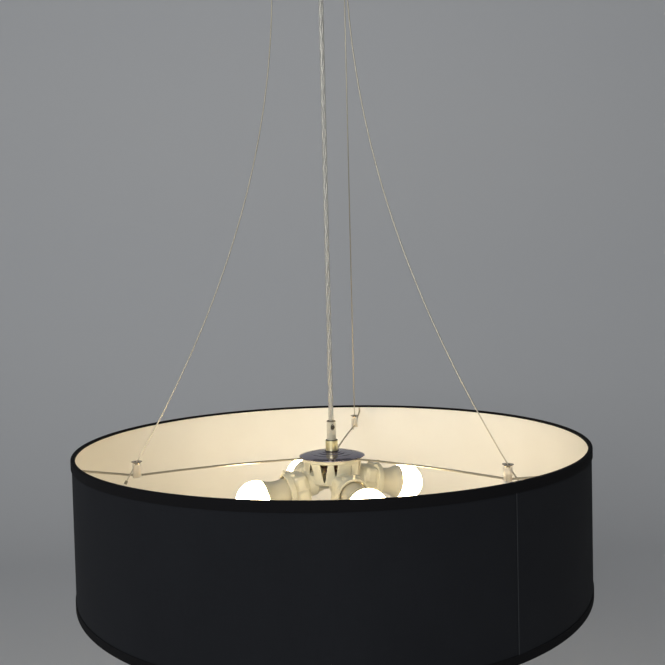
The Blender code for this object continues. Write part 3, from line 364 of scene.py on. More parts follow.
# Suspension cables: six galvanised strands laid round a core. Each runs straight down
# out of its anchor, bows outwards and goes into the collar of its grip.
CABLE_R = 0.00075
CABLE_LAY = 0.0085
CABLE_SIDES = 12
CABLE_VALLEY = 0.80
CABLE_STATIONS = 560
STRAND_ANGLE = math.radians(80)

cable_steel = handled("galvanised_strand", (0.50, 0.45, 0.35), 0.38, 1.0, 900.0, 0.25, 0.10, 0.1)


def centre(name):
    """The middle of a node's box."""
    low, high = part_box(name)
    return (low + high) / 2


def laid_cable(foot, run, steps):
    """A straight length of cable with its strands twisted round each other."""
    start = (0, 0, foot)
    return closed_bar(CABLE_R, CABLE_SIDES, start, run / CABLE_LAY, run, steps, CABLE_VALLEY)


def length_of(route):
    """How long a route is."""
    return sum((b - a).length for a, b in zip(route, route[1:]))


def towards(way):
    """The turn from straight up to a way."""
    return Vector((0, 0, 1)).rotation_difference(way)


for k in range(1, 4):
    low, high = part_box(f"suspension_cable_{k}")
    anchor, collar = centre(f"cable_anchor_{k}"), centre(f"grip_collar_{k}")
    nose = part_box(f"cable_anchor_{k}")[0].z
    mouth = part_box(f"grip_collar_{k}")[1].z - CABLE_R

    def bend(z, anchor=anchor, collar=collar, nose=nose, mouth=mouth):
        """A point of the cable at a height, between its anchor's nose and its grip."""
        t = min(max((nose - z) / (nose - mouth), 0), 1)
        flat = anchor + (collar - anchor) * t * t
        return Vector((flat.x, flat.y, z))

    bm = laid_cable(low.z, high.z - low.z, CABLE_STATIONS)
    for vert in bm.verts:
        x, y, z = vert.co
        along = (bend(z + CABLE_R / 2) - bend(z - CABLE_R / 2)).normalized()
        vert.co = bend(z) + towards(along) @ Vector((x, y, 0))
    run = show(f"laid_cable_{k}", bm, cable_steel, STRAND_ANGLE)
    route = [bend(high.z + (low.z - high.z) * step / 32) for step in range(33)]
    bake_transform(run)
    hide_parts(f"suspension_cable_{k}")

# Canopy: a spun cup, chromed, with a rolled rim against the ceiling. A slotted screw on
# each side goes through its wall into the strap behind it.
FIT = 0.0003
CUP_WALL = 0.0010
CUP_CORNER = 0.0055
CUP_BEAD = 0.0012


def rounded(corners, closed=True):
    """An outline of (radius, height, corner radius) with its corners turned into arcs."""
    line = []
    count = len(corners)
    for i, (r, z, soft) in enumerate(corners):
        here = Vector((r, z))
        if not soft or (not closed and i in (0, count - 1)):
            line.append(here)
            continue
        before = Vector(corners[i - 1][:2]) - here
        after = Vector(corners[(i + 1) % count][:2]) - here
        reach = min(soft, before.length * 0.49, after.length * 0.49)
        start, end = here + before.normalized() * reach, here + after.normalized() * reach
        for step in range(5):
            t = step / 4
            line.append(start * (1 - t) ** 2 + here * 2 * t * (1 - t) + end * t * t)
    return line


def lathe(name, corners, mat, steps=64, at=None, closed=True, angle=math.radians(35)):
    """A turned piece from an outline, placed by a matrix."""
    bm = bmesh.new()
    verts = [bm.verts.new((p.x, 0, p.y)) for p in rounded(corners, closed)]
    pairs = list(zip(verts, verts[1:])) + ([(verts[-1], verts[0])] if closed else [])
    edges = [bm.edges.new(pair) for pair in pairs]
    bmesh.ops.spin(
        bm, geom=verts + edges, cent=(0, 0, 0), axis=(0, 0, 1), angle=TURN, steps=steps,
        use_merge=True,
    )
    bmesh.ops.remove_doubles(bm, verts=bm.verts, dist=1e-6)
    bmesh.ops.recalc_face_normals(bm, faces=bm.faces)
    if at is not None:
        bm.transform(at)
    return show(name, bm, mat, angle)


chrome = handled("polished_chrome", (0.66, 0.665, 0.70), 0.07, 1.0, 45.0, 0.03, 0.04, 0.02)
nickel = handled("satin_nickel", (0.70, 0.67, 0.56), 0.27, 1.0, 120.0, 0.05, 0.06, 0.06)
zinc = handled("zinc_plate", (0.60, 0.61, 0.63), 0.38, 1.0, 160.0, 0.14, 0.10, 0.10)
white_moulding = handled(
    "white_moulding", (0.74, 0.675, 0.48), 0.34, 0.0, 90.0, 0.035, 0.06, 0.05
)

cup_low, cup_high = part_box("canopy_cup")
cup_r = cup_high.x
hole_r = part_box("canopy_cord_entry")[1].x * 0.7
floor_z, bead_z = cup_low.z + CUP_WALL, cup_high.z - CUP_BEAD
outline = [
    (cup_r - CUP_BEAD, cup_high.z, CUP_BEAD / 2), (cup_r, cup_high.z, CUP_BEAD / 2),
    (cup_r, cup_low.z, CUP_CORNER), (hole_r, cup_low.z, 0), (hole_r, floor_z, 0),
    (cup_r - CUP_WALL, floor_z, CUP_CORNER - CUP_WALL),
    (cup_r - CUP_WALL, bead_z, 0), (cup_r - CUP_BEAD, bead_z, 0),
]
dress(lathe("canopy_cup_spun", outline, chrome, 128), "canopy", "chrome", "canopy_cup")


def refinish(name, mat):
    """A CAD node that stays as it is gets a finish."""
    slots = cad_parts[name].data.materials
    slots.clear()
    slots.append(mat)


refinish("ceiling_strap", zinc)


def settle(piece):
    """Makes the piece's modifiers part of its mesh."""
    bpy.context.view_layer.update()
    seen = piece.evaluated_get(bpy.context.evaluated_depsgraph_get())
    old = piece.data
    piece.data = bpy.data.meshes.new_from_object(seen)
    piece.modifiers.clear()
    bpy.data.meshes.remove(old)
    piece.data.shade_smooth()
    piece.data.set_sharp_from_angle(angle=math.radians(35))


def carve(piece, tool):
    """Cuts a tool out of a piece. The tool is then gone."""
    cut = piece.modifiers.new("cut", "BOOLEAN")
    cut.operation = "DIFFERENCE"
    cut.object = tool
    cut.solver = "EXACT"
    settle(piece)
    bpy.data.objects.remove(tool)


def block(name, size, at, taper=1.0, soft=0.0, segments=2, mat=white_moulding):
    """A block, whose foot may be wider or narrower than its top and its edges soft."""
    bm = bmesh.new()
    bmesh.ops.create_cube(bm, size=1.0)
    for vert in bm.verts:
        if vert.co.z < 0:
            vert.co.y *= taper
    bmesh.ops.scale(bm, vec=size, verts=bm.verts)
    if soft:
        bmesh.ops.bevel(
            bm, geom=bm.edges[:], offset=soft, segments=segments, profile=0.5, affect="EDGES",
            material=-1,
        )
    bm.transform(at)
    return show(name, bm, mat)


def slotted_screw(name, head_r, head_l, shank_r, shank_l, slot_w, at, mat):
    """A screw whose domed head has a slot, its shank running down -Z from the head's foot."""
    outline = [
        (0, head_l, 0), (head_r * 0.82, head_l * 0.92, head_r * 0.2),
        (head_r, head_l * 0.55, head_r * 0.15), (head_r, 0, head_r * 0.05),
        (shank_r, 0, 0), (shank_r, -shank_l, shank_r * 0.3), (0, -shank_l, 0),
    ]
    screw = lathe(name, outline, mat, 48, closed=False)
    lift = Matrix.Translation((0, 0, head_l * 1.05))
    carve(screw, block(f"{name}_slot", (3 * head_r, slot_w, head_l), lift, mat=mat))
    screw.data.transform(at)
    return screw


for side, sign in (("left", -1), ("right", 1)):
    low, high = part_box(f"canopy_screw_{side}")
    seat = Matrix.Translation((sign * (cup_r + FIT), 0, (low.z + high.z) / 2))
    seat = seat @ Matrix.Rotation(sign * math.pi / 2, 4, "Y")
    head_r = (high.z - low.z) / 2
    head_l = max(high.x, -low.x) - cup_r - FIT
    name = f"side_screw_{side}"
    screw = slotted_screw(
        f"{name}_slotted", head_r, head_l, head_r * 0.42, head_l * 2.4, 0.0009, seat, nickel
    )
    dress(screw, name, "nickel", f"canopy_screw_{side}")

# Terminal block under the strap: a moulded body with three poles. Brass screws clamp the
# wires, and the cord's conductors come up to it through the bush.
POLE_PITCH = 0.0075

brass = handled("brass", (0.74, 0.58, 0.30), 0.28, 1.0, 200.0, 0.12, 0.08, 0.08)

low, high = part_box("terminal_block")
heart = centre("terminal_block")
terminals = block(
    "terminal_block_moulded", high - low, Matrix.Translation(heart), soft=0.0009, segments=3
)
for pole in (-1, 0, 1):
    x = pole * POLE_PITCH
    over = Matrix.Rotation(math.pi / 2, 4, "X")
    for name, radius, depth, at in (
        ("wire_hole", 0.0017, 0.012, Matrix.Translation((x, low.y, heart.z)) @ over),
        ("screw_well", 0.0021, 0.004, Matrix.Translation((x, 0.001, low.z))),
    ):
        bm = bmesh.new()
        bmesh.ops.create_cone(
            bm, cap_ends=True, segments=24, radius1=radius, radius2=radius, depth=depth, matrix=at
        )
        carve(terminals, show(name, bm, white_moulding))
    seat = Matrix.Translation((x, 0.001, low.z + 0.0016)) @ Matrix.Rotation(math.pi, 4, "X")
    name = f"terminal_screw_{pole + 2}"
    clamp = slotted_screw(name, 0.0018, 0.0009, 0.0011, 0.0010, 0.0005, seat, brass)
    dress(clamp, "canopy", "brass")
dress(terminals, "canopy", "white_plastic", "terminal_block")

# Bush and cable anchors in the canopy's floor: a ribbed nylon nose grips the cord, and
# knurled nickel studs hold the swaged ends of the three cables.
RIBS = 4
RIB_FILL = 0.72
NOSE_R = 0.0060
NECK_R = 0.0055
FLANGE_H = 0.0025
KNURLS = 36

under = cup_low.z - FIT
low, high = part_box("canopy_cord_entry")
nose_top = under - FLANGE_H
rib_h = (nose_top - low.z) / RIBS
ribs = []
for rib in range(RIBS):
    top, rib_r = nose_top - rib_h * rib, NOSE_R - 0.0001 * rib
    foot = top - rib_h * RIB_FILL
    ribs += [
        (rib_r, top, 0.0003), (rib_r, foot, 0.0003),
        (rib_r - 0.0007, foot, 0.0002), (rib_r - 0.0007, top - rib_h, 0.0002),
    ]
outline = [
    (NECK_R, high.z, 0.0005), (NECK_R, under, 0), (high.x, under, 0.0006),
    (high.x, nose_top, 0.0009), *ribs,
    (CORD_R + FIT, low.z, 0.0003), (CORD_R + FIT, high.z, 0.0003),
]
bush = lathe("cord_bush_ribbed", outline, white_moulding)
dress(bush, "canopy", "white_plastic", "canopy_cord_entry")

for k in range(1, 4):
    low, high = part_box(f"cable_anchor_{k}")
    heart = centre(f"cable_anchor_{k}")
    outline = [
        (0, high.z, 0), (0.0025, high.z, 0.0006), (0.0025, under, 0),
        (0.0050, under, 0.0004), (0.0050, under - 0.0020, 0.0004),
        (0.0030, under - 0.0020, 0.0003), (0.0030, low.z, 0.0010),
        (CABLE_R + 0.0002, low.z, 0.0002), (CABLE_R + 0.0002, high.z - 0.0015, 0),
        (0, high.z - 0.0015, 0),
    ]
    seat = Matrix.Translation((heart.x, heart.y, 0))
    stud = lathe(f"cable_anchor_{k}_knurled", outline, nickel, 2 * KNURLS, seat, closed=False)
    for vert in stud.data.vertices:
        flat = Vector((vert.co.x - heart.x, vert.co.y - heart.y))
        rim = flat.length > 0.0046 and under - 0.0018 < vert.co.z < under - 0.0002
        if rim and round(math.atan2(flat.y, flat.x) / TURN * 2 * KNURLS) % 2:
            vert.co.x -= flat.x * 0.04
            vert.co.y -= flat.y * 0.04
    dress(stud, "canopy", "nickel", f"cable_anchor_{k}")

# Suspension grips: a clear barrel moulded round each spoke, with a bright collar that is
# pushed down to let the cable go. The cable runs on slantwise through the barrel, leaves
# it beside the spoke and ends in a crimped ferrule.
SPOKES = 3
SPOKE_TURN = math.radians(81)
BEND_R = 0.232
BARREL_R = 0.0049
BORE_R = 0.0031
CHAMBER_R = 0.0038
BARREL_FLOOR = 0.0010
SEAT_BLOCK_H = 0.0054
COLLAR_TRAVEL = 0.0012
COLLAR_R = 0.0060
COLLAR_FLARE_R = 0.0052
COLLAR_FLARE_H = 0.0018
COLLAR_BRIM = 0.0005
COLLAR_NECK_R = 0.0041
STEM_R = 0.0028
STEM_BORE_R = 0.0023
SLOT_REACH = 0.0034
SLOT_W = 0.0022
SLOT_DROP = 0.0012
TAIL_TURN = math.radians(20)
TAIL_SLANT = math.radians(39)
TAIL_L = 0.0230
TAIL_DROP = 0.0010
TAIL_STATIONS = 60
FERRULE_R = 0.0017
FERRULE_L = 0.0038
CRIMPS = 3


def clear_moulding(name, colour, clear, index):
    """A see-through plastic, a little cloudy from the mould."""
    made, tree = material(name, colour, 0.2, Transmission_Weight=clear, IOR=index)
    cloud = noise(tree, node(tree, "TexCoord").outputs["Object"], 260.0, 4.0)
    feed(tree, Roughness=total(tree, 0.26, (cloud, 0.2)), Normal=bump(tree, cloud, 0.12))
    return made


clear_plastic = clear_moulding("clear_moulding", (0.97, 0.94, 0.89), 0.93, 1.18)
seat_plastic = handled("seat_plastic", (0.74, 0.65, 0.48), 0.40, 0.0, 240.0, 0.05, 0.06, 0.05)
collar_metal = handled("collar_metal", (0.46, 0.41, 0.34), 0.16, 1.0, 220.0, 0.06, 0.05, 0.04)
ferrule_steel = handled(
    "ferrule_steel", (0.30, 0.27, 0.20), 0.42, 1.0, 240.0, 0.16, 0.10, 0.10
)

spoke_turns = [SPOKE_TURN + k * TURN / SPOKES for k in range(SPOKES)]
for k, turn in enumerate(spoke_turns, 1):
    low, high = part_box(f"cable_grip_{k}")
    collar_low, collar_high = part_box(f"grip_collar_{k}")
    seat = Matrix.Rotation(turn, 4, "Z") @ Matrix.Translation((BEND_R, 0, 0))
    ledge = collar_low.z - COLLAR_TRAVEL - FIT
    floor_z = low.z + BARREL_FLOOR
    outline = [
        (BORE_R, high.z, 0.0003), (BARREL_R - 0.0002, high.z, 0.0007),
        (BARREL_R, (high.z + low.z) / 2, 0.002), (BARREL_R - 0.0001, low.z, 0.0012),
        (0, low.z, 0), (0, floor_z, 0), (CHAMBER_R, floor_z, 0.0003),
        (CHAMBER_R, ledge - 0.0004, 0.0003), (BORE_R, ledge, 0.0002),
    ]
    barrel = lathe(f"grip_barrel_{k}", outline, clear_plastic, 64, seat)
    dress(barrel, "shade", "clear_plastic", f"cable_grip_{k}")

    # A beige block in the barrel's foot, round the spoke. It shows through the barrel.
    foot, block_r = floor_z + 0.0002, CHAMBER_R - 0.0002
    outline = [
        (0, foot + SEAT_BLOCK_H, 0), (block_r, foot + SEAT_BLOCK_H, 0.0004),
        (block_r, foot, 0.0004), (0, foot, 0),
    ]
    seat_block = lathe(f"grip_seat_block_{k}", outline, seat_plastic, 48, seat, closed=False)
    dress(seat_block, "shade", "white_plastic")

    top = collar_high.z
    neck_z, stem_foot = top - COLLAR_FLARE_H, collar_low.z + 0.0008
    outline = [
        (STEM_BORE_R, top - 0.0001, 0.0003), (COLLAR_FLARE_R, top - 0.0001, 0.0002),
        (COLLAR_NECK_R, neck_z, 0.0003), (STEM_R, neck_z, 0.0002),
        (STEM_R, stem_foot, 0.0002), (STEM_BORE_R, stem_foot, 0.0002),
    ]
    collar = lathe(f"collar_turned_{k}", outline, collar_metal, 64, seat)
    # The stem is slotted, so that the tail stays clear of it when the collar is pressed.
    slot_h = top - SLOT_DROP - stem_foot + 0.0005
    lift = Matrix.Translation((SLOT_REACH / 2, 0, top - SLOT_DROP - slot_h / 2))
    at = seat @ Matrix.Rotation(TAIL_TURN, 4, "Z") @ lift
    carve(collar, block("stem_slot", (SLOT_REACH, SLOT_W, slot_h), at))
    dress(collar, f"collar_{k}", "nickel", f"grip_collar_{k}")
    outline = [
        (COLLAR_FLARE_R + 0.0001, top, 0.0001), (COLLAR_R, top, 0.0002),
        (COLLAR_R, top - COLLAR_BRIM, 0.0002),
        (COLLAR_FLARE_R - 0.0001, top - COLLAR_BRIM, 0.0001),
    ]
    brim = lathe(f"collar_brim_{k}", outline, ferrule_steel, 64, seat)
    dress(brim, f"collar_{k}", "dark_metal")

    # The tail ends where its solid does, and starts on the collar's axis just below the
    # mouth, so that it carries on the line of the cable.
    out = math.sin(TAIL_SLANT)
    slant = (out * math.cos(TAIL_TURN), out * math.sin(TAIL_TURN), -math.cos(TAIL_SLANT))
    start = Vector((0, 0, top - TAIL_DROP))
    end = Vector((0, 0, collar_low.z - COLLAR_TRAVEL)) + Vector(slant) * TAIL_L
    lean = towards((end - start).normalized()).to_matrix().to_4x4()
    bm = laid_cable(0, (end - start).length, TAIL_STATIONS)
    bm.transform(seat @ Matrix.Translation(start) @ lean)
    tail = show(f"laid_tail_{k}", bm, cable_steel, STRAND_ANGLE)
    dress(tail, "shade", "steel_cable", f"cable_tail_{k}")

    crimp = []
    for step in range(CRIMPS):
        z = -FERRULE_L + FERRULE_L * (step + 0.5) / CRIMPS
        crimp += [
            (FERRULE_R, z - 0.0004, 0.0002), (FERRULE_R * 0.78, z, 0.0003),
            (FERRULE_R, z + 0.0004, 0.0002),
        ]
    outline = [
        (CABLE_R * 0.9, -FERRULE_L, 0), (FERRULE_R, -FERRULE_L, 0.0002), *crimp,
        (FERRULE_R, 0, 0.0004), (0, 0, 0), (0, -0.0010, 0), (CABLE_R * 0.9, -0.0010, 0),
    ]
    at = seat @ Matrix.Translation(end) @ lean
    dress(lathe(f"tail_ferrule_{k}", outline, ferrule_steel, 40, at), "shade", "steel_cable")

# Cord grip: a clear sleeve with a dark cap ring, screwed into the coupling. A slotted
# clamp screw through its wall pinches the cord's jacket.
CORD_GRIP_R = 0.0055
CORD_GRIP_UP = 0.0018
CAP_RING_H = 0.0015
LINER_TOP = 0.0062
CLAMP_TURN = math.radians(-75)
CLAMP_DROP = 0.0060
CLAMP_HEAD_R = 0.0024
CLAMP_HEAD_L = 0.0018
# Half widths and heights of the painted shade ring round the clamp screw, and its thickness.
RECESS_SHADE_RING = ((0.0017, 0.0029), (0.0022, 0.0037))
RECESS_SHADE_RING_T = 0.0002

milky_plastic = clear_moulding("milky_moulding", (0.97, 0.93, 0.81), 0.69, 1.2)
dark_steel = handled("blackened_steel", (0.115, 0.100, 0.085), 0.36, 1.0, 220.0, 0.10, 0.08, 0.08)

low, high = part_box("cord_grip")
grip_top = high.z + CORD_GRIP_UP
ring_z = grip_top - CAP_RING_H
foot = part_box("coupling_sleeve")[1].z + FIT
bore_r, wall_r = CORD_R + FIT, CORD_GRIP_R - 0.0007
outline = [
    (bore_r, ring_z, 0), (CORD_GRIP_R - 0.0002, ring_z, 0.0002),
    (CORD_GRIP_R, ring_z - 0.0010, 0.0004), (CORD_GRIP_R, foot + 0.0004, 0.0004),
    (CORD_GRIP_R - 0.0003, foot, 0.0002), (wall_r, foot, 0),
    (wall_r, low.z, 0.0004), (bore_r, low.z, 0.0002),
]
sleeve = lathe("cord_grip_clear", outline, milky_plastic, 80)
dress(sleeve, "shade", "clear_plastic", "cord_grip")
outline = [
    (CORD_R + 0.0002, grip_top, 0.0004), (CORD_GRIP_R - 0.0008, grip_top, 0.0004),
    (CORD_GRIP_R, grip_top - 0.0007, 0.0004), (CORD_GRIP_R, ring_z, 0.0002),
    (CORD_R + 0.0002, ring_z, 0),
]
dress(lathe("cord_grip_cap_ring", outline, ferrule_steel, 80), "shade", "dark_metal")
outline = [
    (CORD_GRIP_R - 0.0009, foot + LINER_TOP, 0.0002), (wall_r, foot + 0.0058, 0.0002),
    (wall_r, foot + 0.0002, 0), (CORD_GRIP_R - 0.0011, foot + 0.0002, 0),
    (CORD_GRIP_R - 0.0011, foot + LINER_TOP, 0),
]
liner = lathe("cord_grip_liner", outline, dark_steel)
at = (
    Matrix.Rotation(math.radians(-20), 4, "Z")
    @ Matrix.Translation((-0.0085, 0, foot + 0.0006))
    @ Matrix.Rotation(math.radians(14), 4, "Y")
)
carve(liner, block("liner_cut", (0.02, 0.02, 0.012), at))
dress(liner, "shade", "dark_metal")

clamp_seat = (
    Matrix.Translation((0, 0, high.z - CLAMP_DROP))
    @ Matrix.Rotation(CLAMP_TURN, 4, "Z")
    @ Matrix.Rotation(math.pi / 2, 4, "Y")
    @ Matrix.Translation((0, 0, CORD_GRIP_R + FIT))
)
clamp = slotted_screw(
    "clamp_screw_slotted", CLAMP_HEAD_R, CLAMP_HEAD_L, 0.0015, 0.0021, 0.0007, clamp_seat,
    dark_steel,
)
dress(clamp, "clamp_screw", "dark_metal", "cord_grip_screw")


# A thin dark ring laid on the sleeve's face round the screw: painted shade of a recess that the
# sleeve's shape leaves out.
bm = bmesh.new()
for half_w, half_h in RECESS_SHADE_RING:
    for vert in bmesh.ops.create_circle(bm, radius=1.0, segments=48)["verts"]:
        angle = CLAMP_TURN + vert.co.x * half_w / CORD_GRIP_R
        out = CORD_GRIP_R + 0.0001
        z = high.z - CLAMP_DROP + vert.co.y * half_h
        vert.co = (out * math.cos(angle), out * math.sin(angle), z)
bmesh.ops.bridge_loops(bm, edges=bm.edges[:])
bmesh.ops.recalc_face_normals(bm, faces=bm.faces)
if sum(f.normal.xy.dot(f.calc_center_median().xy) for f in bm.faces) < 0:
    bmesh.ops.reverse_faces(bm, faces=bm.faces)
bmesh.ops.solidify(bm, geom=bm.faces[:], thickness=RECESS_SHADE_RING_T)
dress(show("clamp_recess_shade_ring", bm, dark_steel), "shade", "dark_metal")

# Coupling sleeve, cover disc and nut on the threaded tube. The sleeve is turned and satin
# plated, and the disc is pressed in steps, polished and chromed. Its chrome is darkened and
# tinted violet all over, a painted reflection of a dark room.
SLEEVE_R = 0.0075
SLEEVE_BORE_R = 0.0053
TUBE_R = 0.0050
DISC_R = 0.040
DISC_T = 0.0009
DISC_BRIM = 0.0012

champagne = handled("champagne_plate", (0.80, 0.74, 0.47), 0.36, 1.0, 150.0, 0.05, 0.06, 0.06)
# The disc's chrome is dark and violet: a painted reflection of a dark room, not the metal's own
# colour.
disc_chrome_painted_reflection = handled("disc_chrome_painted_reflection", (0.40, 0.36, 0.41), 0.11, 1.0, 60.0, 0.06, 0.05, 0.03)

low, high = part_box("coupling_sleeve")
groove_r = SLEEVE_R - 0.0003
outline = [
    (SLEEVE_BORE_R, high.z, 0.0002), (SLEEVE_R - 0.0004, high.z, 0.0004),
    (SLEEVE_R, high.z - 0.0006, 0.0003), (SLEEVE_R, low.z + 0.0018, 0.0002),
    (groove_r, low.z + 0.0016, 0.0001), (groove_r, low.z + 0.0012, 0.0001),
    (SLEEVE_R, low.z + 0.0010, 0.0002), (SLEEVE_R, low.z, 0.0003), (SLEEVE_BORE_R, low.z, 0),
]
dress(lathe("coupling_sleeve_turned", outline, champagne, 96), "shade", "nickel", "coupling_sleeve")
outline = [
    (0.0058, high.z + 0.0005, 0.0001), (0.0073, high.z + 0.0005, 0.0002),
    (0.0074, high.z + 0.0001, 0), (0.0058, high.z + 0.0001, 0),
]
dress(lathe("sleeve_top_ring", outline, dark_steel, 80), "shade", "dark_metal")

low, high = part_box("cover_disc")
edge = low.z - DISC_BRIM
bore_r = TUBE_R + FIT
steps = [
    (0.0095, 0.0046, 0.0003), (0.0120, 0.0044, 0.0003), (0.0128, 0.0038, 0.0003),
    (0.0168, 0.0036, 0.0003), (0.0175, 0.0029, 0.0003), (0.0248, 0.0026, 0.0004),
    (0.0255, 0.0029, 0.0003), (0.0262, 0.0024, 0.0004), (0.0300, 0.0020, 0.0010),
    (0.0345, 0.0012, 0.0010),
]
outline = [
    (bore_r, high.z, 0.0002), (0.0088, high.z, 0.0004),
    *[(r, low.z + rise, soft) for r, rise, soft in steps],
    (0.0392, edge + 0.0010, 0.0006), (DISC_R, edge + 0.0006, 0.0004),
    (DISC_R - 0.0001, edge, 0.0002), (DISC_R - 2 * DISC_T, edge, 0.0002),
    (DISC_R - 3 * DISC_T, low.z, 0.0004), (bore_r, low.z, 0),
]
disc = lathe("cover_disc_pressed", outline, disc_chrome_painted_reflection, 128)
dress(disc, "shade", "chrome", "cover_disc")
outline = [
    (0.0076, high.z + 0.0009, 0.0002), (0.0086, high.z + 0.0008, 0.0003),
    (0.0088, high.z, 0), (0.0076, high.z, 0),
]
dress(lathe("disc_foot_collar", outline, dark_steel, 80), "shade", "dark_metal")
refinish("hub_nut", zinc)
refinish("threaded_tube", zinc)

# Spider: a flat hub under the disc and three bright wire spokes, each bent up through its
# grip and welded to the top ring. Both rings are of a thinner wire.
WIRE_R = 0.0012
SPIDER_HUB_R = 0.020
SPOKE_ARCH = 0.0015
KNEE_IN = 0.0045
KNEE_DROP = 0.0105
UPRIGHT_R = 0.2966
RING_WIRE_R = 0.0006
RING_R = 0.2976
RING_IN = 0.0020

spoke_wire = handled("spoke_wire", (0.56, 0.50, 0.38), 0.36, 1.0, 320.0, 0.16, 0.10, 0.10)

hub_low, hub_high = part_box("spider_hub")
spider_z = (hub_low.z + hub_high.z) / 2
outline = [
    (bore_r, hub_high.z, 0.0002), (SPIDER_HUB_R, hub_high.z, 0.0005),
    (SPIDER_HUB_R, hub_low.z, 0.0005), (bore_r, hub_low.z, 0.0002),
]
dress(lathe("spider_hub_plate", outline, spoke_wire, 96), "shade", "steel_wire", "spider_hub")


def arched(points, reach, steps):
    """A route through points, with its inner corners rounded."""
    points = [Vector(point) for point in points]
    route = points[:1]
    for before, corner, after in zip(points, points[1:], points[2:]):
        soft = min(reach, (before - corner).length / 2, (after - corner).length / 2)
        start = corner + (before - corner).normalized() * soft
        end = corner + (after - corner).normalized() * soft
        for step in range(steps + 1):
            t = step / steps
            route.append(start * (1 - t) ** 2 + corner * 2 * t * (1 - t) + end * t * t)
    return route + points[-1:]


def follow(bm, route):
    """Bends an upright piece so that its height runs along a route."""
    marks = [0.0]
    for a, b in zip(route, route[1:]):
        marks.append(marks[-1] + (b - a).length)
    foot = min(v.co.z for v in bm.verts)

    def at(s):
        s = min(max(s, 0.0), marks[-1])
        i = max(1, next((n for n, mark in enumerate(marks) if mark >= s), len(marks) - 1))
        return route[i - 1].lerp(route[i], (s - marks[i - 1]) / (marks[i] - marks[i - 1]))

    reach = marks[-1] / 100
    seen = {}
    for vert in bm.verts:
        s = round(vert.co.z - foot, 7)
        if s not in seen:
            seen[s] = at(s), towards((at(s + reach) - at(s - reach)).normalized())
        heart, tilt = seen[s]
        vert.co = heart + tilt @ Vector((vert.co.x, vert.co.y, 0))


def round_bar(name, route, radius, sides, steps, mat, seat):
    """A round wire bent along a route, with its ends rounded off."""
    bm = closed_bar(radius, sides, (0, 0, 0), 0.0, length_of(route), steps)
    rims = [e for e in bm.edges if len({len(f.verts) for f in e.link_faces}) == 2]
    bmesh.ops.bevel(
        bm, geom=rims, offset=radius * 0.3, segments=2, profile=0.5, affect="EDGES", material=-1
    )
    follow(bm, route)
    bm.transform(seat)
    return show(name, bm, mat, math.radians(60))


notch_h = 2 * (spider_z + WIRE_R + 0.0004 - low.z + DISC_BRIM)
knee_z = rim_z - KNEE_DROP
weld_z = rim_z - RING_IN - RING_WIRE_R - FIT
arch = []
for step in range(9):
    x = step / 8
    arch.append((DISC_R + (BEND_R - DISC_R) * x, 0, spider_z + 4 * SPOKE_ARCH * x * (1 - x)))
points = [
    (SPIDER_HUB_R + FIT, 0, spider_z), *arch, (UPRIGHT_R - KNEE_IN, 0, knee_z),
    (UPRIGHT_R, 0, knee_z + KNEE_IN / 2), (UPRIGHT_R, 0, weld_z),
]
route = arched(points, 0.0020, 6)
for k, angle in enumerate(spoke_turns, 1):
    turn = Matrix.Rotation(angle, 4, "Z")
    at = turn @ Matrix.Translation((DISC_R, 0, low.z - DISC_BRIM))
    carve(disc, block("disc_notch", (0.0080, 0.0034, notch_h), at))
    spoke = round_bar(f"spoke_wire_{k}", route, WIRE_R, 16, 260, spoke_wire, turn)
    dress(spoke, "shade", "steel_wire", f"spoke_{k}")

for name, z in (("top_ring", rim_z - RING_IN), ("bottom_ring", foot_z + RING_IN)):
    bm = bmesh.new()
    bmesh.ops.create_circle(bm, radius=RING_WIRE_R, segments=12)
    bm.transform(Matrix.Translation((RING_R, 0, z)) @ Matrix.Rotation(math.pi / 2, 4, "X"))
    bmesh.ops.spin(
        bm, geom=bm.verts[:] + bm.edges[:], cent=(0, 0, 0), axis=(0, 0, 1), angle=TURN,
        steps=192, use_merge=True,
    )
    bmesh.ops.recalc_face_normals(bm, faces=bm.faces)
    dress(show(f"{name}_wire", bm, spoke_wire), "shade", "steel_wire", name)

# Lampholder: one white moulding. A domed hub carries a ring round the disc and four
# cups that lean down, each with a flange, a latch and a box-like stepped back.
LAMPS = 4
LAMP_TURN = math.radians(23)
LAMP_TILT = math.radians(10.5)
AXES_DROP = 0.0235
MOUTH_S = 0.0615
HUB_R = 0.0365
HUB_RING_W = 0.0024
HUB_RING_H = 0.0050
HUB_PLATE_T = 0.0026
HUB_FOOT_R = 0.0330
HUB_H = 0.0283
HUB_WALL = 0.0022
GAP_TURN = math.radians(5)
PEAK_TURN = math.radians(18.5)
WEDGE_TURN = math.radians(-16)
PEAK_H = 0.0140
CUP_R = 0.0162
CUP_LIP_R = 0.0208
CUP_LIP_L = 0.0070
CUP_BOX = 0.0172
CUP_BOX_END = 0.0244
CUP_TAIL_R = 0.0150
CUP_BACK = 0.037
CUP_BORE_R = 0.0145
CUP_MOUTH_R = 0.0176
CUP_DEEP = 0.0305
VOXEL = 0.00062

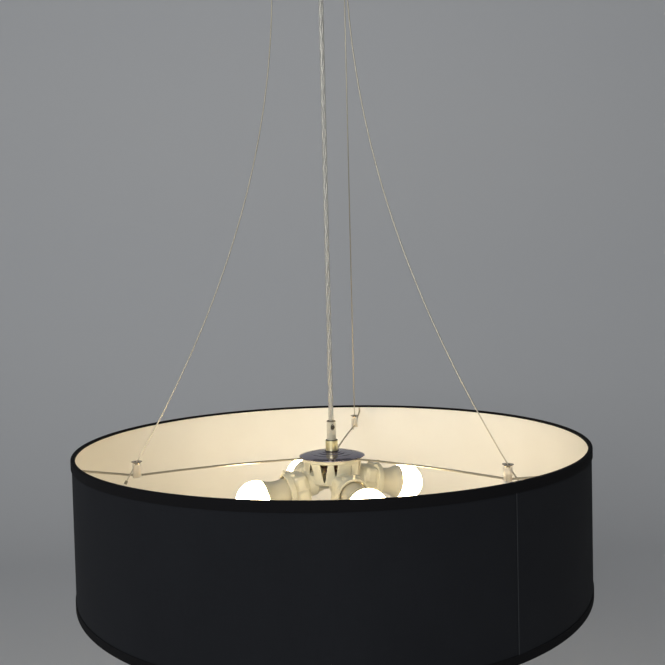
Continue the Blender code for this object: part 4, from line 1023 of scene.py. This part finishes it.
plate_z = spider_z - WIRE_R - FIT
cross_z = plate_z - AXES_DROP
ring_top = spider_z + WIRE_R + FIT - 0.0006
hub_foot = plate_z - HUB_H
dome = hub_foot - 0.0014
dome_foot = hub_foot - 0.0025
under_plate = plate_z - HUB_PLATE_T
ring_foot = ring_top - HUB_RING_H
outline = [
    (0, dome_foot + HUB_WALL, 0), (HUB_FOOT_R * 0.6, dome + HUB_WALL, 0.004),
    (HUB_FOOT_R - HUB_WALL, hub_foot + HUB_WALL, 0.002), (HUB_R - 0.0034, under_plate, 0.0008),
    (bore_r, under_plate, 0), (bore_r, plate_z, 0), (HUB_R - HUB_RING_W, plate_z, 0.0008),
    (HUB_R - HUB_RING_W, ring_top, 0.0005), (HUB_R, ring_top, 0.0006),
    (HUB_R, ring_foot, 0.0005), (HUB_R - 0.0012, ring_foot - 0.0002, 0.0004),
    (HUB_FOOT_R, hub_foot, 0.0026), (HUB_FOOT_R * 0.6, dome, 0.006), (0, dome_foot, 0),
]
lampholder = lathe("lampholder_moulded", outline, white_moulding, 96, closed=False)
notch_h = 2 * (ring_top - spider_z + WIRE_R + FIT)
for turn in spoke_turns:
    at = Matrix.Rotation(turn, 4, "Z") @ Matrix.Translation((HUB_R - 0.0012, 0, ring_top))
    carve(lampholder, block("spoke_notch", (0.0068, 0.0036, notch_h), at, soft=0.0004))

lamp_turns = [LAMP_TURN + k * TURN / LAMPS for k in range(LAMPS)]
gap_h = HUB_H - HUB_PLATE_T - 2 * HUB_WALL
for k, turn in enumerate(lamp_turns, 1):
    peak_foot_w = 0.0022 if k == LAMPS else 0.0100
    for way, top_w, foot_w, height, top in (
        (turn + TURN / LAMPS / 2 + GAP_TURN, 0.0096, 0.0018, gap_h, under_plate - FIT),
        (turn + PEAK_TURN, 0.0010, peak_foot_w, PEAK_H, ring_foot - 0.0003),
        (turn + WEDGE_TURN, 0.0050, 0.0012, PEAK_H, ring_foot - 0.0003),
    ):
        lift = Matrix.Translation((HUB_R - 0.0030, 0, top - height / 2))
        at = Matrix.Rotation(way, 4, "Z") @ lift
        carve(lampholder, block("hub_opening", (0.0075, top_w, height), at, foot_w / top_w))


def lamp_seat(turn):
    """A frame at a cup's mouth, with Z out along the lamp's axis."""
    return (
        Matrix.Translation((0, 0, cross_z))
        @ Matrix.Rotation(turn, 4, "Z")
        @ Matrix.Rotation(math.pi / 2 + LAMP_TILT, 4, "Y")
        @ Matrix.Translation((0, 0, MOUTH_S))
    )


cup_outline = [
    (0, 0, 0), (CUP_LIP_R - 0.0003, 0, 0.0004), (CUP_LIP_R, -0.0005, 0.0003),
    (CUP_LIP_R, -CUP_LIP_L, 0.0005), (CUP_R, -CUP_LIP_L - 0.0006, 0.0004),
    (CUP_R, -CUP_BOX_END, 0.0004), (CUP_TAIL_R, -CUP_BOX_END - 0.0012, 0.0004),
    (CUP_TAIL_R, -CUP_BACK, 0.001), (0, -CUP_BACK, 0),
]
well_outline = [
    (0, 0.002, 0), (CUP_MOUTH_R, 0.002, 0), (CUP_MOUTH_R, -0.0062, 0.0008),
    (CUP_BORE_R, -0.0065, 0.0003), (CUP_BORE_R, -CUP_BOX_END + 0.0006, 0.0005),
    (CUP_TAIL_R - 0.0022, -CUP_BOX_END - 0.0006, 0.0005),
    (CUP_TAIL_R - 0.0022, -CUP_DEEP, 0.0010), (0, -CUP_DEEP, 0),
]
box_l = CUP_BOX_END - CUP_LIP_L
box_s = -CUP_LIP_L - box_l / 2
cup_boxes = (
    ((2 * CUP_BOX, 2 * CUP_BOX, box_l), (0, 0, box_s), 0.0048),
    ((CUP_BOX, 2 * CUP_BOX + 0.0030, box_l), (CUP_BOX / 2, 0, box_s), 0.0034),
    ((CUP_BOX, 0.0200, 0.0056), (-CUP_LIP_R + CUP_BOX / 2, 0, -CUP_LIP_L - 0.0020), 0.0008),
    ((0.0086, 0.0032, 0.0030), (-CUP_LIP_R, 0, -0.0019), 0.0005),
)
cups = []
for turn in lamp_turns:
    seat = lamp_seat(turn)
    cup = lathe("cup_blank", cup_outline, white_moulding, 96, seat, closed=False)
    carve(cup, lathe("cup_well", well_outline, white_moulding, 96, seat, closed=False))
    cups.append(cup)
    for size, place, soft in cup_boxes:
        cups.append(block("cup_box", size, seat @ Matrix.Translation(place), soft=soft))

bm = bmesh.new()
for piece in [lampholder, *cups]:
    bm.from_mesh(piece.data)
bm.to_mesh(lampholder.data)
bm.free()
for piece in cups:
    bpy.data.objects.remove(piece)

# A moulding has small fillets at every inner corner. Remeshing and smoothing makes them.
skin = lampholder.modifiers.new("skin", "REMESH")
skin.mode = "VOXEL"
skin.voxel_size = VOXEL
skin.adaptivity = 0
smoothing = lampholder.modifiers.new("smoothing", "SMOOTH")
smoothing.factor = 0.5
smoothing.iterations = 3
fewer = lampholder.modifiers.new("fewer", "DECIMATE")
fewer.ratio = 0.45
settle(lampholder)
lampholder.data.set_sharp_from_angle(angle=math.radians(60))
dress(lampholder, "shade", "white_plastic", "lampholder")

# Screw shells and bulbs. The shell and the cap have the round thread of a large bulb, and
# each bulb has a white skirt under an opal globe that glows.
CAP_R = 0.0130
CAP_TOP = 0.0032
CAP_L = 0.0210
SHELL_R = 0.0141
SHELL_TOP = 0.0065
SHELL_L = 0.0160
SHELL_T = 0.0004
THREAD_PITCH = 0.003629
THREAD_WAVE = 0.00038
THREAD_STEPS = 18
SKIRT_R = 0.0155
JOIN_R = 0.0203
JOIN_S = 0.0270
GLOBE_R = 0.0232
GLOBE_T = 0.0010
GLOW = 22.1

skirt_white = handled("skirt_white", (0.67, 0.605, 0.435), 0.30, 0.0, 70.0, 0.03, 0.05, 0.04)
contact_black = handled("contact_black", (0.035, 0.034, 0.035), 0.22, 0.0, 150.0, 0.1, 0.05, 0.05)

opal, tree = material("opal_glow", (0.95, 0.93, 0.88), 0.28, Emission_Strength=GLOW)
cloud = noise(tree, node(tree, "TexCoord").outputs["Object"], 38.0, 3.0)
feed(tree, Emission_Color=mixed(tree, cloud, (1.0, 0.77, 0.45, 1), (1.0, 0.84, 0.55, 1)))


def threaded_sleeve(name, radius, top, length, mat, seat):
    """A rolled shell: a round outline slightly off its axis turns as it rises."""
    bm = bmesh.new()
    ring = bmesh.ops.create_circle(bm, radius=radius - THREAD_WAVE, segments=48)["verts"]
    bmesh.ops.translate(bm, vec=(THREAD_WAVE, 0, top - length), verts=ring)
    turns = length / THREAD_PITCH
    screwed(bm, turns, length, int(turns * THREAD_STEPS))
    bmesh.ops.recalc_face_normals(bm, faces=bm.faces)
    bmesh.ops.solidify(bm, geom=bm.faces[:], thickness=SHELL_T)
    bm.transform(seat)
    return show(name, bm, mat, math.radians(70))


cap_foot = -CAP_TOP - CAP_L
cap_outline = [
    (CAP_R, -CAP_TOP, 0.0002), (CAP_R, -CAP_TOP - 0.0032, 0.0004),
    (CAP_R - 0.0011, -CAP_TOP - 0.0040, 0.0003), (CAP_R - 0.0011, cap_foot + 0.0026, 0.0003),
    (CAP_R - 0.0006, cap_foot + 0.0020, 0.0006), (CAP_R - 0.0022, cap_foot, 0.0008),
    (0.0072, cap_foot, 0.0002), (0.0072, cap_foot + 0.0008, 0),
    (CAP_R - 0.0022, cap_foot + 0.0012, 0), (CAP_R - 0.0022, -CAP_TOP, 0),
]
foot = cap_foot - FIT
contact_outline = [
    (0, foot, 0), (0.0114, foot, 0.0004), (0.0100, foot - 0.0012, 0.0008),
    (0.0062, foot - 0.0030, 0.0008), (0.0052, foot - 0.0036, 0.0004), (0, foot - 0.0036, 0),
]
tip_outline = [
    (0, foot - 0.0034, 0), (0.0045, foot - 0.0034, 0.0003), (0.0043, foot - 0.0042, 0.0005),
    (0.0020, foot - 0.0046, 0.0010), (0, foot - 0.0046, 0),
]
start = -CAP_TOP + FIT
grow, span = JOIN_R - SKIRT_R, JOIN_S - start
flare = [
    (0.98, 0.965, 0.0008), (0.84, 0.90, 0.002), (0.42, 0.76, 0.004), (0.10, 0.60, 0.004),
    (-0.03, 0.34, 0.003),
]
outer = [(SKIRT_R + grow * wide, start + span * high, soft) for wide, high, soft in flare]
outer.insert(0, (JOIN_R, JOIN_S, 0.0003))
skirt_outline = [
    *outer, (SKIRT_R, start, 0.0006), (CAP_R - 0.0004, start, 0.0002),
    (CAP_R - 0.0004, start + 0.0012, 0), (SKIRT_R - 0.0014, start + 0.0014, 0),
    *[(r - 0.0012, z, 0.0008) for r, z, soft in reversed(outer)],
]
join = JOIN_S + FIT
heart = join + math.sqrt(GLOBE_R**2 - JOIN_R**2)
low_turn = math.asin((join - heart) / GLOBE_R)
ball = []
for step in range(33):
    angle = low_turn + (math.pi / 2 - low_turn) * step / 32
    ball.append((GLOBE_R * math.cos(angle), heart + GLOBE_R * math.sin(angle), 0))
ball[-1] = (0, ball[-1][1], 0)
thin = (GLOBE_R - GLOBE_T) / GLOBE_R
ball += [(r * thin, heart + (z - heart) * thin, 0) for r, z, soft in reversed(ball)]

for k, turn in enumerate(lamp_turns, 1):
    seat = lamp_seat(turn)
    shell = threaded_sleeve(f"thread_shell_{k}", SHELL_R, -SHELL_TOP, SHELL_L, brass, seat)
    dress(shell, "shade", "brass", f"screw_shell_{k}")
    top, thread_l = -CAP_TOP - 0.0028, CAP_L - 0.0050
    thread = threaded_sleeve(f"cap_thread_{k}", CAP_R, top, thread_l, nickel, seat)
    dress(thread, f"bulb_{k}", "nickel")
    cap = lathe(f"cap_body_{k}", cap_outline, nickel, 64, seat)
    dress(cap, f"bulb_{k}", "nickel", f"bulb_cap_{k}")
    name = f"contact_insulator_{k}"
    contact = lathe(name, contact_outline, contact_black, 64, seat, closed=False)
    dress(contact, f"bulb_{k}_contact", "dark_metal", f"bulb_contact_{k}")
    tip = lathe(f"contact_tip_{k}", tip_outline, zinc, 48, seat, closed=False)
    dress(tip, f"bulb_{k}_contact", "dark_metal")
    skirt = lathe(f"bulb_skirt_moulded_{k}", skirt_outline, skirt_white, 96, seat)
    dress(skirt, f"bulb_{k}", "white_plastic", f"bulb_skirt_{k}")

    name = f"bulb_globe_opal_{k}"
    globe = lathe(name, ball, opal, 96, seat, closed=False, angle=math.radians(60))
    bm = bmesh.new()
    bm.from_mesh(globe.data)
    bmesh.ops.bridge_loops(bm, edges=[e for e in bm.edges if e.is_boundary])
    bmesh.ops.recalc_face_normals(bm, faces=bm.faces)
    bm.to_mesh(globe.data)
    bm.free()
    dress(globe, f"bulb_{k}", "opal", f"bulb_globe_{k}")

# Wiring in the hub: a joint block, and from it a brown and an ivory lead that arch out
# behind the gaps between the cups and in to the back of each cup.
LEAD_R = 0.0009
LEAD_UP = 0.0065
JOINT_W = 0.0130
JOINT_H = 0.0080

brown_lead = handled("brown_lead", (0.150, 0.062, 0.026), 0.42, 0.0, 500.0, 0.12, 0.06, 0.1)
ivory_lead = handled("ivory_lead", (0.72, 0.55, 0.24), 0.42, 0.0, 500.0, 0.12, 0.06, 0.1)

joint_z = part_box("threaded_tube")[0].z - FIT - JOINT_H / 2
at = Matrix.Translation((0, 0, joint_z)) @ Matrix.Rotation(LAMP_TURN, 4, "Z")
size = (JOINT_W, JOINT_W, JOINT_H)
joint = block("wiring_joint_block", size, at, soft=0.0010, segments=3, mat=brown_lead)
dress(joint, "shade", "brown_wire", "hub_wiring")
back_s = MOUTH_S - CUP_BACK - FIT
lead_in = Matrix.Rotation(LAMP_TILT, 4, "Y") @ Vector((back_s, 0, LEAD_UP))
for k, turn in enumerate(lamp_turns, 1):
    for side, mat, drop in ((-1, brown_lead, 0.0060), (1, ivory_lead, 0.0130)):
        points = [
            (0.0050, side * 0.0022, joint_z), (0.0110, side * 0.0045, joint_z + 0.0010),
            (0.0195, side * 0.0185, plate_z - drop),
            (0.0215, side * 0.0180, plate_z - drop - 0.0065),
            (lead_in.x, side * 0.0060, cross_z + lead_in.z),
        ]
        route = arched(points, 0.0050, 8)
        at = Matrix.Rotation(turn, 4, "Z")
        lead = round_bar(f"{mat.name}_{k}", route, LEAD_R, 12, 70, mat, at)
        dress(lead, "shade", "brown_wire")

# Shade wall: a cream lining of stiff film, and black plain-weave cloth glued to it. The
# cloth's raw end laps over itself towards the front right and shows as a faint line.
SHADE_R = 0.300
CLOTH_T = 0.0006
LINING_T = 0.0008
LINING_R = 0.2991
WALL_IN = 0.0008
LAP_TURN = math.radians(-57.3)
LAP_L = 0.012
LAP_LIFT = 0.00062
THREAD = 0.00042


def woven(tree, pitch):
    """The cloth's own map, and the threads of a plain weave on it."""
    uv = node(tree, "UVMap", uv_map="cloth").outputs["UV"]
    return uv, node(tree, "Group", {"Vector": uv, "Pitch": pitch}, node_tree=weave).outputs


black_cloth, tree = material(
    "black_cloth", (0.011, 0.0114, 0.0128), 0.90, Sheen_Weight=0.02, Sheen_Roughness=0.5,
    Specular_IOR_Level=0.06,
)
uv, threads = woven(tree, THREAD)
lit = total(tree, 0.0, (threads["Thread"], 0.55), (noise(tree, uv, 9.0, 3.0), 0.45))
tone = mixed(tree, lit, (0.0080, 0.0084, 0.0100, 1), (0.0178, 0.0188, 0.0218, 1))
# Painted shade: the cloth's colour is darkened in the hollows between its threads.
weave_hollow_shade = faded(tree, threads["Height"], 0.15, 0.75, 0.62, 1.12)
shaded_weave = node(tree, "HueSaturation", {"Color": tone, "Value": weave_hollow_shade}).outputs["Color"]
end_w = total(tree, 0.0005, (noise(tree, uv, 900.0, 2.0), 0.0008))
along = node(tree, "SeparateXYZ", {"Vector": uv}).outputs["X"]
raw_end = maths(tree, "LESS_THAN", along, end_w)
ended = mixed(tree, raw_end, shaded_weave, (0.040, 0.042, 0.045, 1))
feed(tree, Base_Color=ended, Normal=bump(tree, threads["Height"], 0.45, 0.0001))

cream_film, tree = material("cream_film", (0.83, 0.785, 0.69), 0.48)
uv, threads = woven(tree, THREAD * 1.1)
cloud = noise(tree, uv, 14.0, 5.0)
tone = mixed(tree, cloud, (0.80, 0.75, 0.65, 1), (0.86, 0.82, 0.73, 1))
normal = bump(tree, threads["Height"], 0.10, 0.0001)
feed(tree, Base_Color=tone, Roughness=total(tree, 0.40, (cloud, 0.16)), Normal=normal)


def wrapped(name, outline, start, length, steps, thickness, mat, radius, lift=None):
    """A strip laid out flat, given its cloth map and a thickness, and rolled to a drum."""
    bm = bmesh.new()
    verts = [bm.verts.new((0, r, z)) for r, z in outline]
    edges = [bm.edges.new(pair) for pair in zip(verts, verts[1:])]
    bmesh.ops.spin(
        bm, geom=verts + edges, cent=(0, 0, 0), axis=(1, 0, 0), angle=0,
        dvec=(length / steps, 0, 0), steps=steps,
    )
    cloth = bm.loops.layers.uv.new("cloth")
    for face in bm.faces:
        for loop in face.loops:
            loop[cloth].uv = (loop.vert.co.x, loop.vert.co.z - loop.vert.co.y)
    for vert in bm.verts:
        x, out, z = vert.co
        out += lift(x) if lift else 0
        angle = start + x / radius
        vert.co = (out * math.cos(angle), out * math.sin(angle), z)
    if not lift:
        bmesh.ops.remove_doubles(bm, verts=bm.verts, dist=1e-6)
    sample = bm.faces[:][len(bm.faces) // 2]
    sample.normal_update()
    outwards = sample.normal.xy.dot(sample.calc_center_median().xy)
    if outwards < 0 and abs(sample.normal.z) < 0.5:
        bmesh.ops.reverse_faces(bm, faces=bm.faces)
    bmesh.ops.solidify(bm, geom=bm.faces[:], thickness=thickness)
    return show(name, bm, mat)


def lap(x):
    """How far the cloth lies out over its own other end."""
    return LAP_LIFT * min(max((LAP_L + 0.010 - x) / 0.008, 0), 1)


wall_top, wall_foot = rim_z - WALL_IN, foot_z + WALL_IN
heights = [wall_top + (wall_foot - wall_top) * step / 6 for step in range(7)]
outline = [(LINING_R, z) for z in heights]
lining = wrapped(
    "shade_lining_film", outline, LAP_TURN, TURN * LINING_R, 192, LINING_T, cream_film, LINING_R
)
dress(lining, "shade", "pale_lining", "shade_lining")
outline, length = [(SHADE_R, z) for z in heights], TURN * SHADE_R + LAP_L
cloth_piece = wrapped(
    "shade_cloth", outline, LAP_TURN, length, 240, CLOTH_T, black_cloth, SHADE_R, lap
)
dress(cloth_piece, "shade", "black_fabric", "shade_fabric")

# Tape over both edges: a ribbed black band folded over the rim, down inside and round the
# ring. Its ends meet beside the cloth's lap.
TAPE_R = 0.3008
TAPE_T = 0.0003
TAPE_H = 0.0095
TAPE_FOLD = 0.0012
TAPE_IN_R = 0.2966
RIB = 0.00085

black_tape, tree = material(
    "black_tape", (0.0058, 0.0056, 0.0062), 0.80, Specular_IOR_Level=0.10
)
uv, threads = woven(tree, RIB / 2)
along = node(tree, "SeparateXYZ", {"Vector": uv}).outputs["X"]
ribs = rounded_rows(tree, along, math.pi / RIB)
rib_relief_and_shade = total(tree, 0.0, (ribs, 0.7), (threads["Height"], 0.3))
# Painted shade and highlight: the tape's tone is darker in the hollows between its ribs and lighter
# on their crests.
tone = mixed(tree, rib_relief_and_shade, (0.0026, 0.0025, 0.0029, 1), (0.0072, 0.0069, 0.0078, 1))
feed(tree, Base_Color=tone, Normal=bump(tree, rib_relief_and_shade, 0.6))

# Each band runs along its outer leg, over the edge in two quarter turns, and inside.
quarter = [math.pi / 2 * step / 6 for step in range(7)]
for edge_name, edge, way in (("top", rim_z, -1), ("bottom", foot_z, 1)):
    middle = edge + way * TAPE_FOLD
    outline = [
        (TAPE_R, edge + way * (TAPE_H + (TAPE_FOLD - TAPE_H) * step / 6)) for step in range(7)
    ]
    for a in quarter[1:]:
        out, up = TAPE_FOLD * math.cos(a), TAPE_FOLD * math.sin(a)
        outline.append((TAPE_R - TAPE_FOLD + out, middle - way * up))
    for a in quarter:
        out, up = TAPE_FOLD * math.sin(a), TAPE_FOLD * math.cos(a)
        outline.append((TAPE_IN_R + TAPE_FOLD - out, middle - way * up))
    outline.append((TAPE_IN_R, edge + way * (RING_IN + RING_WIRE_R)))
    tape = wrapped(
        f"{edge_name}_tape_band", outline, LAP_TURN + 0.02, TURN * TAPE_R, 240, TAPE_T,
        black_tape, TAPE_R,
    )
    dress(tape, "shade", "black_tape", f"{edge_name}_tape")
